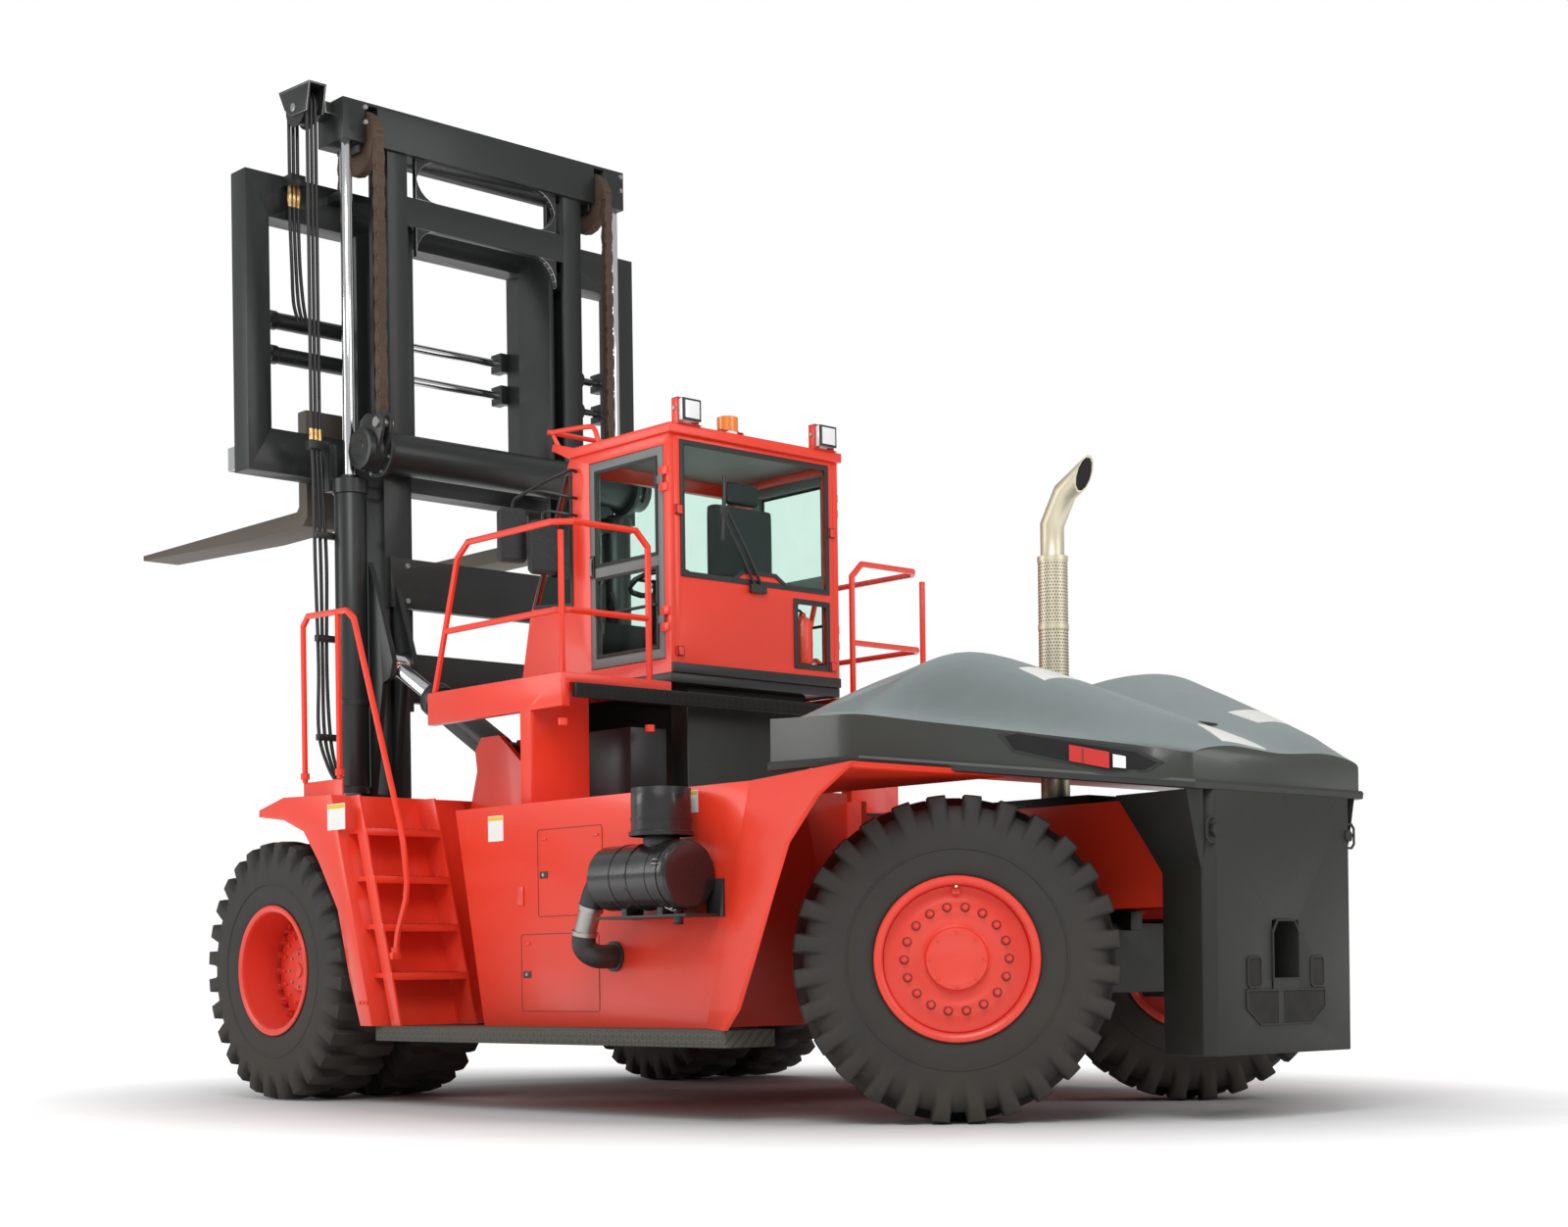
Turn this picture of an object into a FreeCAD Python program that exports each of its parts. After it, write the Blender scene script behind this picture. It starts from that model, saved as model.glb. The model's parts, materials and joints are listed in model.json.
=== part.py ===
"""Heavy diesel forklift: a counterbalanced truck with a two-stage mast, its carriage near full lift.

Millimetres. +X points to the forks, +Y to the truck's left, +Z up. Sizes are laid out from the
rear axle on the ground; every shape is moved at export so that the origin is under the middle.
"""
import FreeCAD, Part
import math
import os

os.makedirs("parts", exist_ok=True)
V = FreeCAD.Vector

# ---------------------------------------------------------------- driving sizes
tyre_d = 1650.0
tyre_w = 500.0
tyre_r = tyre_d / 2
lug_depth = 40.0
lug_count = 28
bead_r = 400.0
bead_inset = 35.0
bead_blend_r = 560.0
wheelbase = 4900.0
dual_pitch = 650.0
track_outer = 4250.0
kingpin_y = 1000.0
kingpin_offset = 250.0
steer_rest_deg = 46.0
running_gap = 0.3
move_gap = 5.0

body_half_w = 1720.0
step_half_w = 2060.0
fender_half_w = 2115.0
handrail_y = 1990.0
sheet = 12.0
plate = 30.0

axle_z = tyre_r
front_x = wheelbase
dual_outer_y = track_outer / 2 - tyre_w / 2
dual_inner_y = dual_outer_y - dual_pitch
tyre_inner_face_y = dual_inner_y - tyre_w / 2
frame_half_w = tyre_inner_face_y - 70.0

# frame
rail_z0 = 520.0
rail_z1 = 1640.0
rear_rail_half_w = 300.0
rear_rail_z0 = 1080.0
mid_rail_half_w = 620.0
rail_t = 40.0

step_z0 = 390.0
step_z1 = 480.0

# mast
mast_pivot_x = 5270.0
mast_pivot_z = 640.0
mast_pin_r = 55.0
outer_rail_y = 790.0
rail_flange = 190.0
rail_depth = 340.0
rail_web = 45.0
mast_x0 = 5360.0
outer_z0 = 300.0
outer_z1 = 4440.0
stroke = 1920.0
inner_len = 4130.0
inner_top_z = 6740.0
inner_z0 = inner_top_z - inner_len
carriage_z0 = 4236.0
carriage_h = 2046.0
carriage_half_w = 1680.0
carriage_x0 = 5860.0
carriage_t = 190.0
lift_y = 1150.0
lift_x = 5440.0
lift_tube_r = 110.0
lift_rod_r = 42.0
lift_tube_z0 = 2020.0
lift_floor_t = 60.0
lift_tube_z1 = 4160.0

# forks
fork_y = 960.0
fork_w = 300.0
fork_t = 110.0
fork_tip_t = 40.0
fork_len = 2300.0
fork_top_z = 4060.0

# tilt cylinders
tilt_y = 960.0
tilt_pin_r = 45.0
tilt_rod_pin_x = 5190.0
tilt_rod_pin_z = 2880.0
tilt_base_pin_x = 3960.0
tilt_base_pin_z = 2180.0

# cab
cab_half_w = 705.0
cab_rear_x = 2590.0
platform_half_w = 1480.0
platform_front_x = 3970.0
cab_roof_z = 4110.0
cab_floor_z = 2600.0
cab_wall = 40.0

# counterweight
engine_top = 1690.0
cw_rear_x = -1360.0
cw_front_x = -960.0
cw_z0 = 330.0
cw_z1 = 1640.0

fork_tip_x = carriage_x0 + carriage_t + fork_t + fork_len
origin_x = (fork_tip_x + cw_rear_x) / 2


# ---------------------------------------------------------------- helpers
def box(x0, x1, y0, y1, z0, z1):
    """A box between two corners given axis by axis."""
    return Part.makeBox(x1 - x0, y1 - y0, z1 - z0, V(x0, y0, z0))


def face(points):
    return Part.Face(Part.makePolygon(points + [points[0]]))


def prism_xz(points, y0, y1):
    """An outline in X and Z, pushed from y0 to y1."""
    return face([V(x, y0, z) for x, z in points]).extrude(V(0, y1 - y0, 0))


def prism_yz(points, x0, x1):
    return face([V(x0, y, z) for y, z in points]).extrude(V(x1 - x0, 0, 0))


def prism_xy(points, z0, z1):
    return face([V(x, y, z0) for x, y in points]).extrude(V(0, 0, z1 - z0))


def fuse(shapes):
    body = shapes[0].fuse(shapes[1:]) if len(shapes) > 1 else shapes[0]
    return body.removeSplitter()


def group(shapes):
    """Solids that share a node without touching."""
    solids = []
    for shape in shapes:
        solids.extend(shape.Solids)
    return Part.makeCompound(solids)


def flip(shape):
    """The same shape on the other side of the truck."""
    return shape.mirror(V(0, 0, 0), V(0, 1, 0))


def both(shape):
    return group([shape, flip(shape)])


def rod(start, end, radius, sides=12, turn=0.0):
    """A bar whose round section is drawn with flat sides; its corners lie on the radius."""
    a = V(*start)
    b = V(*end)
    way = b - a
    across = way.cross(V(0, 0, 1)) if abs(way.z) < 0.9 * way.Length else way.cross(V(1, 0, 0))
    across.normalize()
    other = way.cross(across).normalize()
    points = []
    for i in range(sides):
        angle = 2 * math.pi * (i + turn) / sides
        points.append(a + across * (radius * math.cos(angle)) + other * (radius * math.sin(angle)))
    return face(points).extrude(way)


def pin(start, end, radius):
    """A truly round bar, for the pins and stubs that something turns on."""
    a = V(*start)
    b = V(*end)
    return Part.makeCylinder(radius, (b - a).Length, a, b - a)


def skin(first, second, push):
    """A thin plate between two rows of points, given its thickness by a push."""
    push = V(*push)
    rows = [[V(*p) for p in row] for row in (first, second)]
    back = [[p + push for p in row] for row in rows]
    faces = []
    last = len(first) - 1
    for a, b in (rows, back):
        for i in range(last):
            faces.append(face([a[i], a[i + 1], b[i + 1]]))
            faces.append(face([a[i], b[i + 1], b[i]]))
    for row, other in zip(rows, back):
        for i in range(last):
            faces.append(face([row[i], row[i + 1], other[i + 1], other[i]]))
    for i in (0, last):
        faces.append(face([rows[0][i], rows[1][i], back[1][i], back[0][i]]))
    return Part.Solid(Part.Shell(faces))


def bore(start, end, radius, sides=12):
    """The hole for a bar: its flats stand on the radius, so the bar turns freely in it."""
    return rod(start, end, radius / math.cos(math.pi / sides), sides, 0.5)


def hull_between(first, second):
    """A solid with flat faces between two rings of points that match one to one."""
    faces = [face(first), face(second)]
    count = len(first)
    for i in range(count):
        k = (i + 1) % count
        faces.append(face([first[i], first[k], second[k]]))
        faces.append(face([first[i], second[k], second[i]]))
    return Part.Solid(Part.Shell(faces))


def tube_path(points, radius, bend, sides=8):
    """A tube along straight runs, each corner eased by a short diagonal run."""
    pts = [V(*p) for p in points]
    line = [pts[0]]
    for i in range(1, len(pts) - 1):
        back = (pts[i - 1] - pts[i]).normalize()
        ahead = (pts[i + 1] - pts[i]).normalize()
        line.append(pts[i] + back * bend)
        line.append(pts[i] + ahead * bend)
    line.append(pts[-1])
    way = (line[1] - line[0]).normalize()
    across = way.cross(V(0, 1, 0)) if abs(way.y) < 0.9 else way.cross(V(1, 0, 0))
    across.normalize()
    other = way.cross(across).normalize()
    ring = []
    for i in range(sides):
        angle = 2 * math.pi * (i + 0.5) / sides
        ring.append(line[0] + across * (radius * math.cos(angle)) + other * (radius * math.sin(angle)))
    rings = [ring]
    for i in range(1, len(line)):
        here = (line[i] - line[i - 1]).normalize()
        if i < len(line) - 1:
            ahead = (line[i + 1] - line[i]).normalize()
            normal = (here + ahead).normalize()
        else:
            normal = here
        next_ring = []
        for point in rings[-1]:
            reach = (line[i] - point).dot(normal) / here.dot(normal)
            next_ring.append(point + here * reach)
        rings.append(next_ring)
    faces = [face(rings[0]), face(rings[-1])]
    for first, second in zip(rings, rings[1:]):
        for i in range(sides):
            k = (i + 1) % sides
            faces.append(face([first[i], first[k], second[k], second[i]]))
    return Part.Solid(Part.Shell(faces))


def export(name, shape):
    shape = shape.copy()
    shape.translate(V(-origin_x, 0, 0))
    for solid in shape.Solids:
        if not solid.isValid() or solid.Volume <= 0:
            print("bad solid in", name)
    shape.exportStep("parts/" + name + ".step")


# ---------------------------------------------------------------- wheels
def ring_points(count, radius, y, turn=0.0):
    step = 2 * math.pi / count
    return [V(radius * math.cos(step * i + turn), y, radius * math.sin(step * i + turn)) for i in range(count)]


def lug_half(y0, y1, phase):
    """Half of the tread: a toothed band whose teeth are the lugs."""
    pitch = 2 * math.pi / lug_count
    points = []
    for i in range(lug_count):
        centre = pitch * (i + phase)
        for offset, radius in ((-0.25, tyre_r - lug_depth), (-0.2, tyre_r), (0.2, tyre_r), (0.25, tyre_r - lug_depth)):
            angle = centre + pitch * offset
            points.append(V(radius * math.cos(angle), y0, radius * math.sin(angle)))
    return face(points).extrude(V(0, y1 - y0, 0))


def frustum(first, second):
    """A solid between two regular rings that share an axis; its sides are flat."""
    faces = [face(first), face(second)]
    count = len(first)
    for i in range(count):
        k = (i + 1) % count
        faces.append(face([first[i], first[k], second[k], second[i]]))
    return Part.Solid(Part.Shell(faces))


def tyre():
    """One tyre about the Y axis, with staggered lugs and a bead that tapers to the rim."""
    half = tyre_w / 2
    body = lug_half(-half, 0, 0.0).fuse(lug_half(0, half, 0.5))
    sides = rim_sides
    inner = bead_r / math.cos(math.pi / sides)
    hole = face(ring_points(sides, inner, -half)).extrude(V(0, tyre_w, 0))
    body = body.cut(hole)
    for sign in (-1, 1):
        wide = ring_points(sides, 2 * bead_blend_r - inner, sign * (half + bead_inset))
        narrow = ring_points(sides, inner, sign * (half - bead_inset))
        dish = frustum(narrow, wide)
        body = body.cut(dish)
    return body.removeSplitter()


rim_sides = 20
rim_r = (bead_r - running_gap) / math.cos(math.pi / rim_sides)
rim_wall = 22.0
disc_t = 40.0
hub_r = 250.0
cap_r = 160.0
stud_circle_r = 262.0


def rim_barrel(y0, y1):
    """The rim's barrel: a many-sided band that the tyre's bead sits on."""
    outer = rod((0, y0, 0), (0, y1, 0), rim_r, rim_sides)
    return outer.cut(rod((0, y0 - 1, 0), (0, y1 + 1, 0), rim_r - rim_wall, rim_sides))


tyre_shape = tyre()


def put(shape, x, y, z, turn=0.0):
    out = shape.copy()
    if turn:
        out.rotate(V(0, 0, 0), V(0, 0, 1), turn)
    out.translate(V(x, y, z))
    return out


def front_tyres(side):
    return group([
        put(tyre_shape, front_x, side * dual_inner_y, axle_z),
        put(tyre_shape, front_x, side * dual_outer_y, axle_z),
    ])


front_disc_y = dual_outer_y - 150.0
hub_flange_r = 290.0
hub_inner_y = tyre_inner_face_y + 60.0


def front_wheel(side):
    """The twin rims on one deep hub, with the planetary cap at the outside."""
    span = dual_outer_y + tyre_w / 2 - (dual_inner_y - tyre_w / 2)
    mid = (dual_outer_y + dual_inner_y) / 2
    y0 = mid - span / 2 + 20
    y1 = mid + span / 2 - 20
    barrel = rim_barrel(y0, y1)
    disc = rod((0, front_disc_y - disc_t, 0), (0, front_disc_y, 0), rim_r - rim_wall / 2, rim_sides)
    hub = rod((0, hub_inner_y, 0), (0, front_disc_y + 60, 0), hub_r, 16)
    hub = hub.cut(bore((0, hub_inner_y - 1, 0), (0, hub_inner_y + 260, 0), axle_tube_r + running_gap))
    cap = rod((0, front_disc_y + 60, 0), (0, front_disc_y + 110, 0), cap_r, 12)
    wheel = fuse([barrel, disc, hub, cap])
    if side < 0:
        wheel = flip(wheel)
    return put(wheel, front_x, 0, axle_z)


axle_tube_r = 150.0
axle_shoulder_r = 210.0

rear_rim_disc_out = 60.0


def rear_wheel_local(side):
    """A single rim with its disc near the outside; the hub turns on the spindle."""
    half = tyre_w / 2
    y0 = -half + 20
    y1 = half - 20
    barrel = rim_barrel(y0, y1)
    disc_y = y1 - rear_rim_disc_out
    disc = rod((0, disc_y - disc_t, 0), (0, disc_y, 0), rim_r - rim_wall / 2, rim_sides)
    hub = rod((0, -40, 0), (0, disc_y + 30, 0), hub_r * 0.8, 16)
    hub = hub.cut(bore((0, -41, 0), (0, 60, 0), spindle_r + running_gap))
    cap = rod((0, disc_y + 30, 0), (0, disc_y + 60, 0), cap_r, 12)
    wheel = fuse([barrel, disc, hub, cap])
    return wheel if side > 0 else flip(wheel)


spindle_r = 70.0


def rear_place(shape, side, offset):
    """Puts a shape made about the wheel's centre on its steered knuckle."""
    out = shape.copy()
    out.translate(V(0, side * offset, 0))
    out.rotate(V(0, 0, 0), V(0, 0, 1), steer_rest_deg)
    out.translate(V(0, side * kingpin_y, axle_z))
    return out


for side, word in ((1, "left"), (-1, "right")):
    export("front_" + word + "_tyres", front_tyres(side))
    export("front_" + word + "_rims", front_wheel(side))
    export("rear_" + word + "_tyre", rear_place(tyre_shape, side, kingpin_offset))
    export("rear_" + word + "_rim", rear_place(rear_wheel_local(side), side, kingpin_offset))

# ---------------------------------------------------------------- axles and knuckles
kingpin_r = 60.0
knuckle_h = 300.0
knuckle_arm_z = 110.0


def knuckle(side):
    """A hub carrier that turns on the kingpin, with the spindle that holds the wheel."""
    barrel = rod((0, 0, -knuckle_h / 2), (0, 0, knuckle_h / 2), 100, 8)
    barrel = barrel.cut(bore((0, 0, -knuckle_h), (0, 0, knuckle_h), kingpin_r + running_gap))
    stub = rod((0, 60, 0), (0, kingpin_offset - 60, 0), 110, 8)
    stub = stub.cut(bore((0, 0, -200), (0, 0, 200), kingpin_r + 20))
    spindle = pin((0, kingpin_offset - 70, 0), (0, kingpin_offset + 50, 0), spindle_r)
    arm = prism_xy([(-60, -50), (-260, -40), (-280, 0), (-260, 40), (-60, 50)], -knuckle_h / 2, -knuckle_h / 2 + 50)
    arm = arm.cut(bore((0, 0, -knuckle_h), (0, 0, knuckle_h), kingpin_r + 20))
    piece = fuse([barrel, stub, spindle, arm])
    if side < 0:
        piece = flip(piece)
    piece.rotate(V(0, 0, 0), V(0, 0, 1), steer_rest_deg)
    piece.translate(V(0, side * kingpin_y, axle_z))
    return piece


export("left_knuckle", knuckle(1))
export("right_knuckle", knuckle(-1))


def rear_axle():
    """The steer axle: a box beam under the frame, with an open yoke and kingpin at each end."""
    beam = box(-130, 130, -kingpin_y + 250, kingpin_y - 250, axle_z - 190, axle_z + 190)
    parts = [beam]
    pad = box(-200, 200, rear_rail_half_w - 100, rear_rail_half_w, axle_z + 150, rear_rail_z0)
    parts.extend([pad, flip(pad)])
    gap = knuckle_h / 2 + running_gap
    for side in (1, -1):
        for level in (1, -1):
            z0 = axle_z + level * gap
            z1 = z0 + level * 70
            low = min(z0, z1)
            ear = prism_xy([(-130, kingpin_y - 300), (130, kingpin_y - 300), (100, kingpin_y + 40),
                            (40, kingpin_y + 100), (-40, kingpin_y + 100), (-100, kingpin_y + 40)], low, low + 70)
            if side < 0:
                ear = flip(ear)
            parts.append(ear)
        parts.append(pin((0, side * kingpin_y, axle_z - gap - 60), (0, side * kingpin_y, axle_z + gap + 60), kingpin_r))
    return fuse(parts)


export("rear_axle", rear_axle())


def front_axle():
    """The drive axle: a banjo housing with a tube into each twin wheel."""
    bowl = rod((front_x - 260, 0, axle_z), (front_x + 240, 0, axle_z), 330, 16)
    tube = pin((front_x, -hub_inner_y - 250, axle_z), (front_x, hub_inner_y + 250, axle_z), axle_tube_r)
    shoulder = rod((front_x, -frame_half_w + 60, axle_z), (front_x, frame_half_w - 60, axle_z), axle_shoulder_r, 12)
    return fuse([bowl, tube, shoulder])


export("front_axle", front_axle())

# ---------------------------------------------------------------- frame
front_rail_y0 = 640.0
frame_front_x = 5180.0
mid_x = 1050.0
cradle_t = 60.0


def frame():
    """Two plate rails, narrow between the steered wheels, wide under the cab, tied by cross members."""
    rear = both(box(cw_front_x, mid_x, rear_rail_half_w - rail_t, rear_rail_half_w, rear_rail_z0, rail_z1))
    step = both(box(mid_x - rail_t, mid_x, rear_rail_half_w - rail_t, mid_rail_half_w + rail_t, rail_z0, rail_z1))
    side = both(box(mid_x - rail_t, frame_front_x - 520, mid_rail_half_w, mid_rail_half_w + rail_t, rail_z0, rail_z1 + 80))
    parts = list(rear.Solids) + list(step.Solids) + list(side.Solids)
    y_in = mid_rail_half_w + rail_t
    for x0, x1 in ((1600, 1680), (3400, 3480), (frame_front_x - 780, frame_front_x - 700)):
        parts.append(box(x0, x1, -y_in, y_in, rail_z0 + 200, rail_z1))
    parts.append(box(cw_front_x, cw_front_x + 80, -rear_rail_half_w, rear_rail_half_w, rail_z0 + 200, rail_z1))
    # front hooks that hold the mast's trunnions, and the saddles over the drive axle
    y0 = mid_rail_half_w
    y1 = mid_rail_half_w + rail_t + 30
    hook = prism_xz([(4560, 1180), (4560, 1720), (4760, 1720), (5200, 1100), (5340, 820), (5360, 640), (5270, 540),
                     (5090, 430), (4560, 430), (4560, 520), (4690, 560)], y0, y1)
    hook = hook.cut(bore((front_x, 0, axle_z), (front_x, 2000, axle_z), axle_shoulder_r + running_gap))
    trunnion = pin((mast_pivot_x, y1, mast_pivot_z), (mast_pivot_x, outer_rail_y + 40, mast_pivot_z), mast_pin_r)
    hook = hook.fuse(trunnion)
    parts.extend(both(hook).Solids)
    return fuse(parts)


tower_x0 = 3420.0
tower_x1 = 4160.0
deck_z = cab_floor_z - 60


def tilt_tower(side):
    """The bracket that carries a tilt cylinder's base pin, on the frame beside the cab."""
    ears = []
    for y0 in (tilt_y - 160, tilt_y + 120):
        ear = prism_xz([(3440, 1720), (3560, 2100), (3800, 2290), (3990, 2290), (4060, 2210), (4040, 2080), (4160, 1720)],
                       y0, y0 + 40)
        ears.append(ear)
    foot = box(3440, 4160, mid_rail_half_w + rail_t, tilt_y + 160, 1690, 1720)
    base_pin = pin((tilt_base_pin_x, tilt_y - 120, tilt_base_pin_z), (tilt_base_pin_x, tilt_y + 120, tilt_base_pin_z), tilt_pin_r)
    piece = fuse(ears + [foot, base_pin])
    return piece if side > 0 else flip(piece)


frame_shape = frame()
export("chassis_frame", group([frame_shape, tilt_tower(1), tilt_tower(-1)]))

# ---------------------------------------------------------------- mast
rail_y0 = outer_rail_y - rail_flange / 2
rail_y1 = outer_rail_y + rail_flange / 2
mast_x1 = mast_x0 + rail_depth
inner_flange_t = 42.0


def i_beam(y0, y1, z0, z1, x0, x1, web_half, flange):
    """A standing I section: flanges at x0 and x1, with the web half way between y0 and y1."""
    ym = (y0 + y1) / 2
    outline = [(x0, y0), (x0, y1), (x0 + flange, y1), (x0 + flange, ym + web_half), (x1 - flange, ym + web_half),
               (x1 - flange, y1), (x1, y1), (x1, y0), (x1 - flange, y0), (x1 - flange, ym - web_half),
               (x0 + flange, ym - web_half), (x0 + flange, y0)]
    return prism_xy(outline, z0, z1)


def channel(y_web, y_tip, z0, z1, x0, x1, web, flange):
    """A rolled channel standing up: the web at y_web and two flanges that reach y_tip."""
    w = web if y_tip > y_web else -web
    outline = [(x0, y_web), (x1, y_web), (x1, y_tip), (x1 - flange, y_tip), (x1 - flange, y_web + w),
               (x0 + flange, y_web + w), (x0 + flange, y_tip), (x0, y_tip)]
    return prism_xy(outline, z0, z1)


inner_y_out = outer_rail_y + 45.0
inner_y_in = outer_rail_y - rail_flange / 2 - 20.0
inner_x0 = mast_x0 + inner_flange_t + move_gap + 3
inner_x1 = mast_x1 - inner_flange_t - move_gap - 3
beam_z = 4300.0
inner_web_half = 22.0
inner_web_y = (inner_y_in + inner_y_out) / 2
small_roller_r = (inner_x1 - inner_x0) / 2 - inner_flange_t - running_gap
big_roller_r = rail_depth / 2 - inner_flange_t - running_gap
tube_r = 140.0
tube_z = 4330.0
tube_x = mast_x0 - tube_r
sheave_r = 195.0
sheave_x = (mast_x0 + mast_x1) / 2 - 20
sheave_z = inner_top_z - 270
chain_y = 985.0
chain_w = 70.0
chain_t = 50.0
anchor_z = tube_z + tube_r
outer_half = outer_rail_y + rail_flange / 2 + rail_web


def outer_mast():
    """The fixed stage: two outward channels tied by cross members behind, with feet for the hinge."""
    web_y = outer_half
    parts = []
    for side in (1, -1):
        rail = channel(web_y, web_y - rail_flange, outer_z0, outer_z1, mast_x0, mast_x1, rail_web, inner_flange_t)
        y0 = web_y - rail_flange
        shoe = prism_xz([(mast_x0, 420), (mast_x0, 900), (mast_pivot_x - 60, 720), (mast_pivot_x - 60, 560)], y0, y0 + 80)
        eye = rod((mast_pivot_x, y0, mast_pivot_z), (mast_pivot_x, y0 + 80, mast_pivot_z), mast_pin_r + 50, 12)
        shoe = shoe.fuse(eye)
        shoe = shoe.cut(bore((mast_pivot_x, 0, mast_pivot_z), (mast_pivot_x, 2000, mast_pivot_z), mast_pin_r + running_gap))
        roll_x = (mast_x0 + mast_x1) / 2
        stub = rod((roll_x, inner_web_y + inner_web_half + move_gap, outer_z1 - 150), (roll_x, web_y - 1, outer_z1 - 150), small_roller_r, 12)
        shoe = shoe.fuse(stub)
        piece = [rail, shoe]
        if side < 0:
            piece = [flip(p) for p in piece]
        parts.extend(piece)
    back = mast_x0 - 70
    cross = [(1300, 1560), (3300, 3640)]
    for z0, z1 in cross:
        parts.append(box(back, mast_x0, -web_y, web_y, z0, z1))
    parts.append(rod((tube_x, -lift_y - 60, tube_z), (tube_x, lift_y + 60, tube_z), tube_r, 16))
    run_x = sheave_x - sheave_r - chain_t / 2
    anchor = box(run_x - 35, run_x + 35, chain_y - 45, chain_y + 45, tube_z, anchor_z)
    parts.extend([anchor, flip(anchor), box(tube_x, mast_x0, -web_y, web_y, tube_z - 60, tube_z + 60)])
    # brackets for the tilt rods
    for side in (1, -1):
        for y0 in (tilt_y - 105, tilt_y + 65):
            ear = prism_xz([(mast_x0, 1900), (mast_x0, 3600), (mast_x0 - 90, 3400), (5120, 3010), (5080, 2900), (5110, 2790),
                            (5200, 2760), (mast_x0 - 110, 2500)], y0, y0 + 40)
            parts.append(ear if side > 0 else flip(ear))
        rod_pin = pin((tilt_rod_pin_x, tilt_y - 65, tilt_rod_pin_z), (tilt_rod_pin_x, tilt_y + 65, tilt_rod_pin_z), tilt_pin_r)
        parts.append(rod_pin if side > 0 else flip(rod_pin))
    return fuse(parts)


outer_shape = outer_mast()
export("outer_mast", outer_shape)


def lift_tubes():
    """The lift cylinders' barrels, open at the top where the rods slide."""
    tube = rod((lift_x, lift_y, lift_tube_z0), (lift_x, lift_y, lift_tube_z1), lift_tube_r, 16)
    tube = tube.cut(bore((lift_x, lift_y, lift_tube_z0 + lift_floor_t), (lift_x, lift_y, lift_tube_z1 + 1), lift_rod_r + running_gap))
    foot = box(mast_x0, mast_x0 + 200, outer_half, lift_y, lift_tube_z0 - 40, lift_tube_z0)
    clamp = box(lift_x - 60, lift_x + 60, outer_half, lift_y - 40, lift_tube_z1 - 120, lift_tube_z1 - 40)
    clamp = clamp.cut(bore((lift_x, lift_y, 0), (lift_x, lift_y, 9000), lift_rod_r + 20))
    return both(fuse([tube, foot, clamp]))


export("lift_cylinders", lift_tubes())


def inner_mast():
    """The moving stage: channels that nest in the outer rails, with a deep top beam and a lower tie."""
    parts = []
    rail = i_beam(inner_y_in, inner_y_out, inner_z0, inner_top_z - 60, inner_x0, inner_x1, inner_web_half, inner_flange_t)
    roll_x = (inner_x0 + inner_x1) / 2
    roll_z = inner_z0 + big_roller_r + 20
    stub = rod((roll_x, inner_web_y, roll_z), (roll_x, inner_y_out + 5, roll_z), 45, 6)
    roller = rod((roll_x, inner_y_out + 3, roll_z), (roll_x, outer_half - rail_web - move_gap, roll_z), big_roller_r, 12)
    parts.extend(both(fuse([rail, stub, roller])).Solids)
    y_in = inner_y_in
    top = box(inner_x0 - 40, inner_x1 + 40, -lift_y - 60, lift_y + 60, inner_top_z - 280, inner_top_z)
    for side in (1, -1):
        slot = box(inner_x0 - 90, inner_x1 + 90, chain_y - 50, chain_y + 50, inner_top_z - 300, inner_top_z - 20)
        top = top.cut(slot if side > 0 else flip(slot))
        cheeks = [box(sheave_x - 90, sheave_x + 90, y0, y0 + 20, inner_top_z - 330, inner_top_z - 100)
                  for y0 in (chain_y - 70, chain_y + 50)]
        sheave_pin = rod((sheave_x, chain_y - 70, sheave_z), (sheave_x, chain_y + 70, sheave_z), 35)
        parts.extend([p if side > 0 else flip(p) for p in cheeks + [sheave_pin]])
    parts.append(top)
    parts.append(box(inner_x0, inner_x0 + 60, -y_in, y_in, inner_z0 + 60, inner_z0 + 400))
    parts.append(box(inner_x0, inner_x0 + 60, -y_in, y_in, 5980, 6180))
    return fuse(parts)


export("inner_mast", inner_mast())


def lift_rods():
    """Chromed rods from the barrels up to the inner stage's top beam."""
    rod_z0 = lift_tube_z0 + lift_floor_t + stroke + 30
    piece = rod((lift_x, lift_y, rod_z0), (lift_x, lift_y, inner_top_z - 280), lift_rod_r)
    return both(piece)


export("lift_rods", lift_rods())


def chains():
    """The rear runs of the lift chains, from the anchors on the fixed stage to the top."""
    x0 = sheave_x - sheave_r - chain_t
    run = box(x0, x0 + chain_t, chain_y - chain_w / 2, chain_y + chain_w / 2, anchor_z, sheave_z)
    return both(run)


export("lift_chains", chains())


def front_chains():
    """The front runs, from the top down to the carriage."""
    x0 = sheave_x + sheave_r
    run = box(x0, x0 + chain_t, chain_y - chain_w / 2, chain_y + chain_w / 2, chain_lug_z, sheave_z)
    return both(run)


def sheaves():
    """The chain sheaves, each with the bend of chain that lies over it."""
    y0 = chain_y - chain_w / 2
    y1 = chain_y + chain_w / 2
    disc = rod((sheave_x, y0, sheave_z), (sheave_x, y1, sheave_z), sheave_r, 16)
    bend = rod((sheave_x, y0, sheave_z), (sheave_x, y1, sheave_z), sheave_r + chain_t, 16)
    bend = bend.common(box(0, 9000, -2000, 2000, sheave_z, 9000))
    piece = disc.fuse(bend).cut(bore((sheave_x, 0, sheave_z), (sheave_x, 2000, sheave_z), 35 + running_gap))
    return both(piece.removeSplitter())


chain_lug_z = carriage_z0 + carriage_h - 60
export("carriage_chains", front_chains())
export("chain_sheaves", sheaves())


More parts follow.
